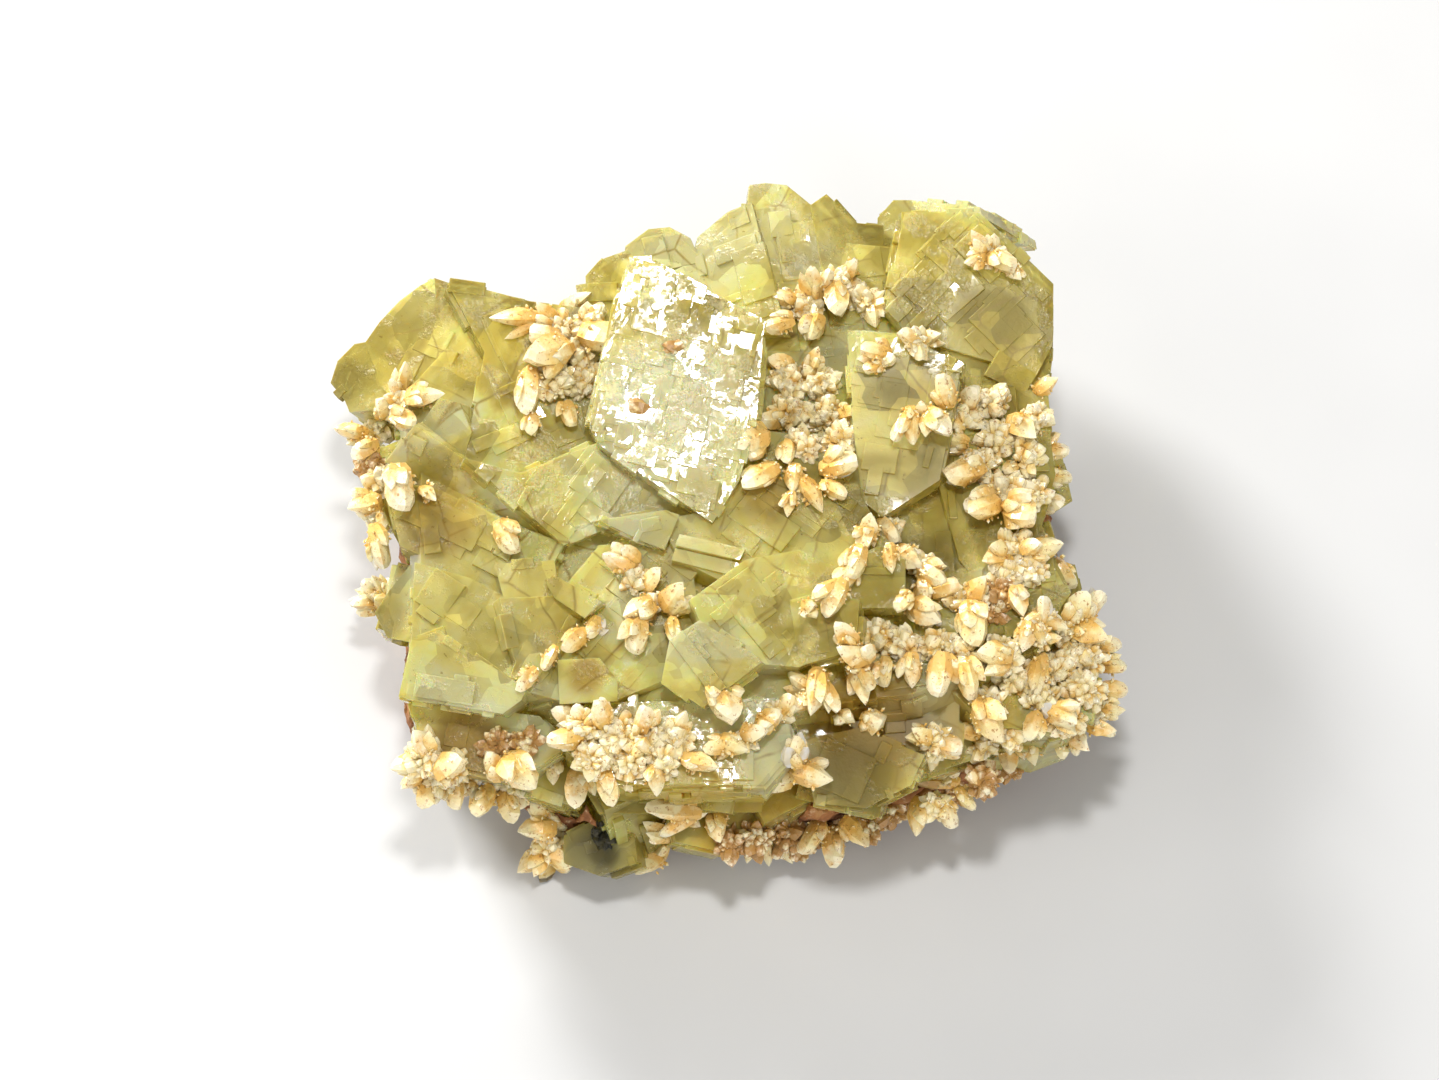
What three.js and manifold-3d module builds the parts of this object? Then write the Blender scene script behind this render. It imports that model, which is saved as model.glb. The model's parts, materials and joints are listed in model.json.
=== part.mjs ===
// Fluorite specimen: pale yellow cubes grown through each other on a rusty rock, with patches of dog-tooth calcite.
// Millimetres, +Z up. The origin is in the flat cut under the rock, below the middle of the crystals.
import * as THREE from "three";
import { mergeVertices } from "three/addons/utils/BufferGeometryUtils.js";
import Module from "manifold-3d";

const wasm = await Module();
wasm.setup();

// Driving dimensions
const GAP = 0.3; // clearance between two minerals
const ROCK_GAP = 0.5; // clearance between the rock and the fluorite, which nothing shows
const PATCH_GAP = 0.5; // clearance between two patches of calcite
const CROWN_HEIGHT = 25.5; // the usual height of the crystal faces over the cut, in the middle
const CROWN_DROP = 6; // how much lower they are round the rim
const CROWN_MIDDLE = [0, 5]; // on the slanted plane
const CROWN_REACH = [40, 36];
const LOWEST_FLUORITE = 3; // fluorite stays this far over the cut
const LOWEST_CALCITE = 0.4;
const MISSED_DEPTH = 4; // how far below the general surface a crystal grows that stands past the edge
const SMALLEST_BODY = 13; // mm3, smaller bodies beside the main one of a patch are left out
const SMOOTHING = 0.13; // how far a surface may move when small edges are closed up after a cut
const HIDDEN_SMOOTHING = 0.3; // the same for the hidden top of the rock
const WELD = 1e-4; // corners closer than this are one corner
const PARALLEL = 0.05; // sine of the turn under which two sides of an outline count as one line
const TOOTH_SIDES = 5;
const TOOTH_WIDEST = 0.55; // where along its length a calcite crystal is widest
const TOOTH_STANDS_OUT = 0.22; // how far its middle lies over the surface, as a share of its width
const KNOT_SIZE = 1.2; // size of a lump, as a share of its radius in the table
const KNOT_STANDS_OUT = 0.1;
const SPRAY_HEART = 0.5; // radius of the lump in a spray, as a share of its crystals' length
const SPRAY_WIDTH = 0.6; // width of its crystals, likewise
const SPRAY_SPREAD = 2.2; // how far round they turn, in radians
const SPRAY_RISE = 1.7; // how far up and down they point, in radians
const SPRAY_LOWEST = 0.35; // the share of that rise that lies under the level
const WORKING_SPACE = 200; // a size larger than the whole specimen

// The crystal side is laid out as it is looked at, from above and in front. A place on it is [x, y] in
// millimetres, x to the right and y up, on a slanted plane through SHOW_MIDDLE.
const SHOW_ELEVATION = THREE.MathUtils.degToRad(65);
const EYE_DISTANCE = 800;
const SHOW_MIDDLE = new THREE.Vector3(0, 0, 15);
const RIGHT = new THREE.Vector3(1, 0, 0);
const UP = new THREE.Vector3(0, Math.sin(SHOW_ELEVATION), Math.cos(SHOW_ELEVATION));
const OUT = new THREE.Vector3(0, -Math.cos(SHOW_ELEVATION), Math.sin(SHOW_ELEVATION));
const EYE = SHOW_MIDDLE.clone().addScaledVector(OUT, EYE_DISTANCE);

// The front wall starts at WALL_TOP_Y on the slanted plane and falls away below it.
const WALL_TOP_Y = -20;
const WALL_TOP_OUT = 18.4;
const WALL_FALL = 1.255;

// Fluorite crystals. face is the outline of the face that shows, rise how far it stands out from the general
// surface, lean how its face turns to the right and up, and deep how far the crystal goes in.
const FLUORITE = [
  // left
  { face: [[-38.9, 15.7], [-38.2, 17.9], [-36.5, 19.6], [-35.4, 19.8], [-33.2, 16.5], [-33, 13.2], [-37, 12.8],
    [-37.5, 14]], rise: -4, lean: [-0.4, 0.3], deep: 9 },
  { face: [[-28.5, 26.2], [-30, 25.4], [-32, 23.9], [-34, 21.8], [-35.4, 19.8], [-34, 15.5], [-30.5, 11.5],
    [-26, 13.5], [-27, 19.5], [-28.3, 23]], rise: -1.4, lean: [-0.45, 0.35], deep: 12 },
  { face: [[-28.5, 26.2], [-27, 25.7], [-23.5, 18.8], [-25, 10.8], [-26.2, 13.5], [-27, 19.5], [-28.3, 23]],
    rise: -0.6, lean: [-0.1, 0.3], deep: 10 },
  { face: [[-27.2, 25.7], [-24, 25.2], [-19, 23.9], [-12, 23], [-11, 10], [-20, 6.5], [-25.5, 8], [-25, 10.8],
    [-23.5, 18.8]], rise: 0.2, lean: [0.12, 0.3], deep: 12 },
  { face: [[-28, 14.2], [-26, 13.7], [-24.8, 10.8], [-25.6, 8], [-30.2, 11.2]], rise: 0.6, lean: [-0.3, 0.1],
    deep: 6 },
  { face: [[-30.5, 11.5], [-25.8, 8.2], [-21, 5], [-15.5, 0.2], [-21, 1.5], [-28, 5], [-33.5, 7.8]],
    rise: -1.2, lean: [-0.35, -0.2], deep: 8 },
  { face: [[-33.5, 6.2], [-28, 5], [-21, 1.7], [-15.5, -0.3], [-18, -5], [-21.5, -5.8], [-25, -4],
    [-32, -0.5]], rise: -1.8, lean: [-0.15, 0.35], deep: 10 },
  { face: [[-34.5, -7.3], [-33, -5], [-30.5, -2], [-28.8, -3.5], [-31, -10.2], [-33.2, -9.8]],
    rise: -4.5, lean: [-0.5, 0.2], deep: 9 },
  { face: [[-30.5, -2.2], [-25, -3.8], [-20.8, -6], [-19.3, -15], [-25, -11.5], [-28, -9], [-30.8, -10]],
    rise: -0.4, lean: [-0.2, 0.35], deep: 10 },
  { face: [[-22, -5.8], [-16.5, -5.6], [-13.7, -7.5], [-15, -12], [-20, -14]], rise: 0.4, lean: [0.25, 0.2],
    deep: 8 },
  { face: [[-22.5, -2.4], [-16.5, -2], [-16, -6], [-21.5, -6.2]], rise: 0.3, lean: [-0.1, 0.5], deep: 7 },
  { face: [[-17.5, -4], [-16.5, -3.5], [-11.8, -6.2], [-13.5, -7.8], [-16.5, -5.8]], rise: 1.3,
    lean: [-0.15, 0.15], deep: 7 },
  { face: [[-31, -10.8], [-30.8, -10], [-28, -9], [-25, -11.3], [-19.3, -14.8], [-19.8, -16], [-21.7, -17.4],
    [-32.1, -15.7]], rise: 2, lean: [-0.12, 0.12], deep: 12 },
  // centre
  { face: [[-25.5, 8.2], [-20, 6.7], [-11, 10.2], [-1.5, 2], [-5.5, -0.5], [-12, 1], [-15.5, -0.5],
    [-21, 4.2]], rise: -0.6, lean: [0.15, 0.2], deep: 9 },
  { face: [[-9.2, 27.8], [-7, 28], [4.5, 22], [3.7, 12], [2, 6], [-0.7, 1.7], [-12, 9.5], [-13, 12]],
    rise: 3.6, lean: [0.02, 0.2], deep: 14 },
  { face: [[-13.4, 26.4], [-12, 28], [-9.2, 29], [-8, 27.6], [-9.2, 23.5], [-12, 21], [-13.3, 22.8]],
    rise: 0.2, lean: [-0.3, 0.3], deep: 11 },
  { face: [[-9.4, 29.4], [-7.1, 31.1], [-5, 31.3], [-2.9, 30.2], [-1.8, 27.8], [-6.5, 26.8], [-9.6, 27.6]],
    rise: -1.5, lean: [0.1, 0.4], deep: 11 },
  { face: [[-12, 2], [-5.5, 3], [-4, 2.5], [-5.5, -1], [-8, 0]], rise: 0.7, lean: [0.2, 0.05], deep: 6 },
  { face: [[-6, 2], [-0.7, 3], [3.7, 11], [14.2, 10], [14.4, 4], [18, -2], [18.5, -6.8], [4, -6], [-4, -2]],
    rise: -1.4, lean: [0.05, 0.45], deep: 9 },
  { face: [[-4, 0.6], [2.6, -0.9], [2, -2], [-4.4, -0.5]], rise: 0.2, lean: [0, 0.3], deep: 5 },
  { face: [[-4.4, -0.8], [2, -2.3], [1.5, -3.6], [-4.8, -2]], rise: -0.5, lean: [0, 0.3], deep: 5 },
  { face: [[-16.5, -5.8], [-12, -0.5], [-3, -0.5], [-2, -8], [-5.5, -14], [-10.3, -16], [-16, -16], [-20, -15]],
    rise: -1.3, lean: [0, 0.4], deep: 9 },
  { face: [[-5.8, -14], [-5, -10], [-2, -8], [3.5, -11.5], [4.2, -12.2], [-1.7, -16.8]], rise: 2,
    lean: [-0.15, 0.1], deep: 10 },
  { face: [[-2, -8], [-3, -6], [2.5, -2], [8, -1], [14, -4], [13, -10], [8, -12.7], [4.2, -12.4],
    [3.5, -11.5]], rise: 0.1, lean: [0.15, 0.35], deep: 9 },
  { face: [[-16.2, -12], [-12, -11.8], [-10.2, -14], [-10.2, -16.1], [-16, -16.4]], rise: 0.8,
    lean: [-0.05, 0.1], deep: 8 },
  { face: [[7, -6], [11, -5], [14, -6], [13.6, -11], [8, -12.6]], rise: 1, lean: [-0.15, 0.2], deep: 8 },
  { face: [[13, -2], [16, -0.5], [18.6, -2], [18.6, -6.8], [13, -6.8]], rise: 0.2, lean: [0.1, 0.2], deep: 8 },
  // top
  { face: [[-2.2, 30.3], [0.8, 32.8], [3.2, 33.8], [6.5, 21], [3, 20.5], [-2, 25], [-3, 27.5]], rise: -1.6,
    lean: [-0.35, 0.4], deep: 13 },
  { face: [[3, 35.5], [4.6, 35.7], [6.7, 35.5], [9.3, 33.4], [12, 21], [5.5, 20], [2.5, 30]], rise: -0.8,
    lean: [0.05, 0.3], deep: 14 },
  { face: [[9.1, 33.5], [10.7, 34.6], [12.5, 33], [13.8, 31.7], [16.4, 31.5], [16.8, 23.2], [15, 19.5],
    [11.5, 20]], rise: -1.6, lean: [0.3, 0.4], deep: 13 },
  // right
  { face: [[18.5, 32.7], [26, 32.8], [33.4, 25.6], [33.3, 19.5], [31.7, 16.5], [19, 20.3], [16.6, 23.2]],
    rise: 2.8, lean: [0.08, 0.2], deep: 15 },
  { face: [[15.8, 32.2], [17.4, 34], [19.1, 34], [26, 33.3], [26.2, 32.4], [18.7, 32], [17, 23], [15.8, 27.8]],
    rise: -0.4, lean: [-0.6, 0.3], deep: 12 },
  { face: [[28, 19], [31.7, 16.5], [30.5, 14.5], [26.5, 16.5]], rise: 0.2, lean: [0.1, -0.1], deep: 7 },
  { face: [[12.8, 21], [18.5, 20.6], [24.2, 17.5], [22, 6], [18, 3.5], [16.3, 2.3], [14.2, 4], [13.5, 10]],
    rise: 1.2, lean: [-0.05, 0.25], deep: 12 },
  { face: [[22, 20], [33.2, 19.5], [32.7, 15], [33.2, 9.4], [33.6, 6.5], [32.2, 1.2], [33.6, -1.8], [28, -7],
    [24, -2], [21.8, 6]], rise: -1.6, lean: [0.2, 0.45], deep: 11 },
  { face: [[25, -3], [34.2, -5.5], [36.8, -9], [38, -13], [37, -18.2], [33.5, -19.5], [27, -18.5], [23, -15],
    [23, -8]], rise: -2, lean: [0.2, 0.4], deep: 11 },
  // front wall
  { face: [[-12, -16.3], [6, -15.8], [8, -20.5], [4.5, -24.5], [-10.3, -24.5], [-16, -20]], rise: -1.6,
    lean: [0, 0.25], deep: 9 },
  { face: [[-14, -24.2], [4.5, -24.2], [4.2, -27.2], [-12, -27.4]], rise: -2, lean: [0, 0.1], deep: 8 },
  { face: [[8, -20], [14, -18.8], [20.5, -21.5], [19.2, -24.5], [14.5, -26.8], [9.5, -26.3]], rise: -0.4,
    lean: [-0.1, 0.05], deep: 8 },
  { face: [[6, -12], [24, -12], [24, -20.5], [8, -20.5]], rise: -4.4, lean: [0, 0.3], deep: 8 },
  { face: [[-15.6, -29.6], [-12.6, -28], [-8.6, -29.4], [-8.2, -32.2], [-12, -33.6], [-15.4, -32.4]],
    rise: 0.4, lean: [-0.25, 0.1], deep: 7 },
  { face: [[-16, -32.6], [-7.5, -32.6], [-8.7, -34.6], [-12, -34.7], [-14.5, -34]], rise: 0,
    lean: [0, 0.1], deep: 6 },
  { face: [[-5, -27.8], [0, -26.4], [4.2, -27.6], [3.6, -30.2], [0.4, -31.2], [-4.4, -30.2]], rise: 0,
    lean: [0.2, 0.1], deep: 7 },
  { face: [[-31, -16], [-18, -17.6], [-15, -20.5], [-20, -24], [-29.5, -22]], rise: -3, lean: [-0.1, 0.2],
    deep: 8 },
];

// Plain cubes low on the sides: middle in the part's frame, edge length, then turn and tilt in degrees.
const SIDE_CUBES = [
  // back, left and right, which nothing shows
  { at: [-22, 18, 13], edge: 10, turn: 28, tilt: 18 },
  { at: [-9, 24, 12], edge: 9, turn: 12, tilt: -22 },
  { at: [3, 28, 12], edge: 10, turn: 40, tilt: 14 },
  { at: [14, 28, 11], edge: 8.5, turn: 20, tilt: 30 },
  { at: [25, 23.5, 12], edge: 10.5, turn: -24, tilt: 12 },
  { at: [29.5, 9, 11.5], edge: 8, turn: 35, tilt: -18 },
  { at: [-31, 8, 12.5], edge: 8, turn: 25, tilt: 24 },
  { at: [-29.5, -6, 11], edge: 7, turn: -18, tilt: 15 },
  { at: [32, -6, 11], edge: 8, turn: 15, tilt: 28 },
  // front wall
  { at: [-26, -16.5, 12], edge: 8.5, turn: 14, tilt: 22 },
  { at: [-16.5, -22, 10], edge: 8, turn: -20, tilt: 16 },
  { at: [-9, -24.5, 8.5], edge: 7.5, turn: 24, tilt: -14 },
  { at: [-1.5, -24, 11], edge: 7, turn: -8, tilt: 20 },
  { at: [5.5, -23.5, 8.5], edge: 7.5, turn: 30, tilt: 12 },
  { at: [13, -22.5, 10.5], edge: 8.5, turn: -14, tilt: 26 },
  { at: [22, -19.5, 12], edge: 8, turn: 18, tilt: 18 },
  { at: [30, -14, 12], edge: 8.5, turn: -30, tilt: 20 },
];

// The massive fluorite that joins the cubes, and the rock: outline seen from above, then how far each level
// of the side stands in or out from it.
const CORE_OUTLINE = [[-31, -14], [-20, -19], [-14, -23], [-4, -24], [8, -22], [20, -21], [32, -16], [36, -9],
  [32, 2], [31, 14], [29, 24], [20, 31], [8, 32], [-4, 29], [-14, 24], [-26, 22], [-33, 14], [-31, 4]];
const CORE_LEVELS = [[9, -3], [13, -0.5], [18, -0.3], [21.2, -1.5]];
const ROCK_OUTLINE = [[-31, -16], [-27, -18.5], [-22, -20.5], [-18, -25.5], [-12, -28.5], [-4, -27.3],
  [5, -26.8], [12, -26.5], [19, -24], [25, -21], [31, -17], [35.5, -12], [36, -4], [33, 4], [32.5, 14],
  [30, 22], [22, 28.5], [10, 31], [-2, 28], [-12, 24], [-24, 21], [-31, 14], [-32.5, 4], [-31.5, -7]];
const ROCK_LEVELS = [[0, -1.4], [1.5, -0.4], [5, 0.3], [9.5, 0.2], [13.5, -1], [17, -4]];
const ROCK_ROUGHNESS = 0.8;
const CORE_ROUGHNESS = 0.3;

// Seeds of the random numbers, one for each lump and the first of the patches
const CORE_SEED = 5;
const ROCK_SEED = 11;
const FIRST_PATCH_SEED = 101;

// Calcite patches. A knot is [x, y, radius]: a lump of small crystals that ties the patch together. A crystal is
// [x, y, length, width, direction of its tip in degrees, lift of the tip out of the surface].
const PATCHES = {
  calcite_left_upper: {
    knots: [[-34, 11.6, 1.9], [-32, 13.4, 1.6]],
    crystals: [[-36.8, 10.9, 3.4, 2.2, 170, 15], [-29.4, 14.3, 4.2, 2.4, 8, 25], [-31.6, 16, 3.8, 2.2, 82, 25],
      [-33.4, 13.2, 3.2, 2.6, 130, 60], [-35.4, 9, 3, 2.2, 215, 20], [-31.4, 12, 3.2, 2.4, -30, 45]],
  },
  calcite_left_edge: {
    knots: [[-33.6, 6, 1.8], [-34, 2.6, 1.7]],
    crystals: [[-35.2, 7, 3, 2.4, 180, 30], [-31.8, 5.2, 5, 3.4, -80, 30], [-29, 4.6, 2.4, 1.8, -45, 40],
      [-35.4, 3.6, 3.4, 2.7, 195, 15], [-34, -0.6, 4.4, 3, -76, 12], [-33.2, 2, 3, 2.4, 250, 40]],
  },
  calcite_left_single: { knots: [], crystals: [[-21.2, 0.3, 3.8, 2.6, -60, 25]] },
  calcite_top_left: {
    knots: [[-16, 20.6, 2.2], [-13, 21.6, 1.8], [-16.4, 15.8, 2.2], [-13.6, 15.6, 1.9],
      [-14.2, 18.4, 2]],
    crystals: [[-20.3, 22.2, 5, 2.4, 180, 8], [-14.3, 23.4, 4.4, 2.8, 40, 35], [-17.2, 18.8, 5.2, 4.2, 200, 45],
      [-12.2, 20.2, 4.4, 3.8, -20, 50], [-19, 14.9, 4.8, 2.8, -95, 20], [-18.8, 11.6, 2.4, 2, -90, 30],
      [-15, 12.6, 2.8, 2, -70, 30], [-17.4, 22.6, 3, 2.2, 130, 30]],
  },
  calcite_top_centre: {
    knots: [[8.6, 23.2, 1.9], [11.6, 25.4, 1.8], [14.4, 23.6, 1.6]],
    crystals: [[9.4, 25.4, 4.4, 2.4, 100, 35], [13.2, 27.1, 2.8, 2, 60, 45], [11.8, 24, 4, 3, -80, 40],
      [15.9, 23.4, 3, 2, 15, 25], [14.6, 24.4, 2.8, 2, 130, 25], [15.4, 22.4, 2.6, 2, -80, 30],
      [9.4, 21.2, 3.2, 2.8, -110, 40], [6.7, 24, 3, 2.2, 165, 30], [6, 21.6, 3, 2.2, 195, 25]],
  },
  calcite_centre: {
    knots: [[6.8, 15.6, 2], [9.8, 15.4, 2], [7.2, 12.4, 2.1], [10.6, 12, 2.2], [8.4, 9.4, 1.8],
      [12.2, 9.8, 1.6]],
    crystals: [[6.1, 17.7, 3, 2.2, 160, 35], [3.3, 9.8, 4, 3.4, 205, 40], [4.1, 6.3, 4.2, 2.6, -150, 25],
      [6.8, 8.8, 2.8, 1.9, -90, 40], [11.9, 7.5, 4.4, 3, 12, 40], [9.2, 4.6, 4.2, 2.2, -60, 20],
      [11.4, 5, 3, 2.2, -30, 30], [5, 12, 3, 2.4, 180, 35], [9.4, 18, 3, 2.2, 70, 30],
      [12.8, 12.6, 3, 2.2, 10, 25], [7.4, 6.2, 3, 2.2, -95, 30]],
  },
  calcite_centre_tip: { knots: [], crystals: [[7, 3.6, 2.6, 1.7, -100, 20]] },
  calcite_cube_top: {
    knots: [[27.2, 28.4, 1.4]],
    crystals: [[25.9, 29.8, 3, 2, 125, 30], [28.2, 27.8, 3.4, 2.4, -30, 35], [25.6, 28, 2.6, 2, 200, 30],
      [29.4, 26.8, 2.4, 1.8, -50, 30]],
  },
  calcite_ledge_left: {
    knots: [],
    crystals: [[15.6, 18.8, 3.2, 2.2, 172, 28], [15.4, 17.3, 2.2, 1.6, 200, 28], [16.8, 18, 1.8, 1.6, 20, 40]],
  },
  calcite_ledge_right: {
    knots: [[19.9, 19.8, 1.1]],
    crystals: [[19, 20.2, 2.8, 2, 150, 35], [21, 20.2, 2.6, 1.8, 20, 35], [19.9, 18.9, 2.2, 1.6, -70, 35]],
  },
  calcite_face_pair: {
    knots: [],
    crystals: [[19.2, 11.4, 4.2, 2.3, -85, 32], [21.8, 11.8, 3.8, 2.7, -50, 36], [20.3, 12.8, 2.4, 1.8, 100, 40]],
  },
  calcite_right_band: {
    knots: [[24.6, 12.2, 1.9], [27.2, 13.6, 1.8], [28, 10, 2.1], [26.2, 7.4, 2], [30.4, 8, 2],
      [31.6, 12, 1.6], [28.4, 4.8, 2], [31.4, 4.4, 1.7]],
    crystals: [[22.5, 14.9, 3.6, 2.4, 110, 28], [25, 14.2, 3.2, 2.6, 60, 50], [24.4, 6.9, 4.4, 3.4, 190, 35],
      [30.3, 11.2, 4.2, 3.4, -40, 45], [26.3, 3.4, 4.4, 3.6, 205, 45], [30, 2.6, 4, 3.6, -20, 50],
      [33, 3.8, 3, 2.4, 10, 20], [32.6, 15.4, 2.8, 2, 35, 15], [33.4, 9, 3, 2.2, 0, 15],
      [33.8, 6.4, 2.8, 2, -10, 15], [23.4, 9.8, 3, 2.2, 170, 30]],
  },
  calcite_right_edge: {
    knots: [[29.4, -1, 1.9], [28.6, -4, 1.9], [31.4, -3.4, 1.7]],
    crystals: [[32.2, -0.8, 4.2, 3, 12, 20], [34.4, -3.4, 3.4, 2.4, -50, 12], [27.6, -1.6, 3.4, 2.6, 200, 35],
      [29.8, -6.2, 3.2, 2.4, -70, 30]],
  },
  calcite_arch_left: {
    knots: [],
    crystals: [[14.9, 1.4, 3, 2.4, 80, 35], [14.5, 0, 3.4, 2.5, -105, 30], [13.7, -2.2, 3.6, 2.5, -110, 30],
      [12.7, -4, 3.4, 2.4, -120, 25], [11.5, -5.8, 4, 2.6, -115, 12]],
  },
  calcite_arch_right: {
    knots: [[17, 0.6, 1.3], [20.4, -2.8, 1.5]],
    crystals: [[16.9, 0.9, 3.4, 2.6, -50, 42], [17.1, -1.8, 3, 1.9, -85, 20], [19, -1.8, 3.6, 2.8, -40, 38],
      [21.2, -3.4, 3.6, 2.8, -30, 38], [22.4, -4.8, 3.2, 2.6, 20, 28], [20.4, -5.4, 3, 2.4, -80, 30]],
  },
  calcite_arch_foot: {
    knots: [],
    crystals: [[18.4, -6.2, 2.4, 2, -130, 28], [20.6, -7.3, 4, 3.2, -30, 38], [19.4, -7.2, 2.4, 2, -90, 40]],
  },
  calcite_hex_single: { knots: [], crystals: [[8.9, -6.6, 2.6, 2, 0, 70]] },
  calcite_right_middle: {
    knots: [[25, -6.6, 1.6]],
    crystals: [[25.7, -5, 3.6, 2.8, 60, 32], [23.4, -6.2, 2.6, 1.9, 172, 25], [25.4, -8.4, 4.6, 3.6, -80, 28]],
  },
  calcite_lower_right_star: {
    knots: [[31.6, -9.6, 1.7], [34.6, -9.2, 2], [36.6, -11.6, 1.8]],
    crystals: [[32.4, -7.2, 3.4, 2, 92, 30], [33.4, -8.2, 3.2, 2, -25, 28], [31.2, -8, 3, 2, 205, 28],
      [35.6, -7, 4.4, 3.2, 62, 25], [37.2, -6.6, 3.6, 2.4, 45, 22], [36.9, -9.4, 4, 3, -15, 28],
      [30.6, -9.6, 3.4, 2.4, -105, 28], [38.6, -10.6, 3, 2.2, 10, 12]],
  },
  calcite_lower_right: {
    knots: [[28, -11.6, 2], [29.6, -14, 2], [33.6, -13, 2.2], [36.4, -15, 2], [32.2, -16.4, 2],
      [34.8, -18, 1.8], [37.2, -17.4, 1.5]],
    crystals: [[27.4, -11.4, 4.2, 3.2, 170, 40], [31.8, -13.6, 4.8, 2.6, -95, 25], [34, -17.6, 4.2, 2.8, -25, 42],
      [39, -17, 3, 2, 0, 12], [38, -18.7, 3.2, 2.2, -12, 12], [35.9, -20, 2.8, 2, -45, 12],
      [34.2, -20.6, 2.4, 1.7, -80, 10], [39.2, -12.6, 2.8, 2, 0, 12], [39.2, -15, 3, 2.2, -5, 12],
      [31.4, -18.6, 3, 2.2, -110, 20]],
  },
  calcite_lower_right_tips: {
    knots: [[26.8, -16.4, 1.6], [29, -19.4, 1.6], [26.6, -20.6, 1.5]],
    crystals: [[27, -18, 5, 3.6, -60, 25], [29, -21.4, 3.6, 2.4, -90, 15], [31.3, -21.2, 2.6, 2, -80, 15],
      [25.5, -22.4, 2.8, 2, -110, 15], [25, -19.2, 2.8, 2.2, 170, 25]],
  },
  calcite_recess_band: {
    knots: [[15.8, -9.8, 2.1], [18.6, -10.6, 1.9], [21.4, -10.8, 1.9], [24.2, -11.4, 1.8]],
    crystals: [[13.2, -11.4, 4, 3.2, 155, 38], [14.2, -14, 4.8, 3, -82, 20], [16.5, -13.2, 3, 2.2, -92, 25],
      [19.2, -13, 3.6, 2.4, -90, 25], [22, -13.4, 4.4, 3, -97, 20], [24.8, -13.8, 4.2, 3, -75, 20],
      [12.6, -9.4, 3.2, 2.4, 130, 30]],
  },
  calcite_recess_glint: {
    knots: [],
    crystals: [[9.5, -15.1, 5, 2.8, -100, 28], [8.3, -14.4, 3.2, 2.2, 150, 32], [8.2, -16.2, 3, 2.2, 220, 28]],
  },
  calcite_hex_left: { knots: [], crystals: [[12.6, -17.6, 2.6, 2.1, 0, 70]] },
  calcite_hex_right: { knots: [], crystals: [[15.5, -18, 3.2, 3, 0, 66]] },
  calcite_crust_right: {
    knots: [[21.6, -20.2, 1.7]],
    crystals: [[20.3, -19.4, 3, 2.4, 150, 35], [22.9, -20.6, 3, 2.4, -20, 35], [21.3, -21.8, 2.8, 2, -100, 28]],
  },
  calcite_lens_right: { knots: [], crystals: [[21.2, -24, 5.4, 2.3, 176, 8], [22.8, -23.6, 2.6, 2, 20, 20]] },
  calcite_middle: {
    knots: [[-8.4, -4.2, 1.6], [-6.6, -6.6, 1.5]],
    crystals: [[-10, -2.1, 4, 2.8, 160, 32], [-6.8, -3.9, 3, 2.2, 50, 35], [-4.6, -5.6, 3.8, 3.2, 55, 36],
      [-8.1, -6.9, 3.6, 3, 205, 32], [-8.2, -9.5, 3.8, 2.8, -100, 25]],
  },
  calcite_middle_oval: { knots: [], crystals: [[-4.5, -9, 2.8, 1.8, -80, 30]] },
  calcite_chain_1: { knots: [], crystals: [[-12.7, -8.7, 2.4, 1.8, -120, 30]] },
  calcite_chain_2: { knots: [], crystals: [[-14.5, -10, 3.2, 2.2, 220, 28]] },
  calcite_chain_3: { knots: [], crystals: [[-17, -11.8, 2.8, 1.9, -115, 28]] },
  calcite_chain_4: { knots: [], crystals: [[-19.3, -13.9, 3, 1.9, -130, 28]] },
  calcite_brown_oval: { knots: [], crystals: [[0.4, -16.2, 4.8, 3.8, -60, 40]] },
  calcite_lower_band: {
    knots: [[-13.6, -19, 1.9], [-12.4, -22, 1.9], [-10, -19.8, 2], [-7.2, -20.6, 2.1],
      [-4.4, -20.2, 2], [-9, -22.4, 1.8], [-5.6, -22.4, 1.7]],
    crystals: [[-15, -17.6, 3.8, 2.6, 160, 25], [-15.4, -19.9, 3.6, 2.6, 190, 20], [-2, -22.2, 3.8, 2.6, -15, 25],
      [-14.2, -24.6, 4.2, 2.8, -97, 15], [-11, -24.4, 4.2, 2.8, -80, 15], [-11.8, -17.4, 3.2, 2.4, 110, 30],
      [-7.6, -18, 3.2, 2.4, 80, 35], [-4, -18.2, 3, 2.2, 60, 35], [-6.4, -24, 3.2, 2.4, -85, 25]],
  },
  calcite_band_arm: {
    knots: [[2.6, -20, 1.1], [5.8, -17.4, 1.1]],
    crystals: [[-0.2, -20.6, 3, 2.2, 190, 25], [1.4, -20.4, 3.2, 2.4, -20, 30], [3.4, -19.2, 3, 2.4, 10, 42],
      [4.9, -18, 3, 2.4, 30, 32], [6.5, -16.7, 3, 2.2, 60, 30]],
  },
  calcite_lower_left: {
    knots: [[-29.4, -22, 1.8], [-27, -22.6, 1.9], [-28.6, -24, 1.6], [-24.8, -23.8, 1.6]],
    crystals: [[-31, -22.5, 3.8, 2.8, 190, 25], [-29, -25, 3.8, 2.8, -110, 20], [-27, -22.6, 4, 3.2, 30, 45],
      [-26.4, -25.2, 3.4, 2.6, -80, 18], [-29.7, -20.4, 3.4, 2.6, 118, 28], [-30.6, -24, 2.8, 2, 215, 15]],
  },
  calcite_lower_left_druse: {
    knots: [[-22.2, -24.6, 1.8], [-20.4, -25, 1.7]],
    crystals: [[-19.8, -23.2, 5, 3.6, -45, 38], [-23.6, -26, 3.4, 2.6, -112, 18], [-21, -26.6, 3.4, 2.6, -75, 18],
      [-22.6, -22.6, 3.2, 2.4, 110, 30]],
  },
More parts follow.
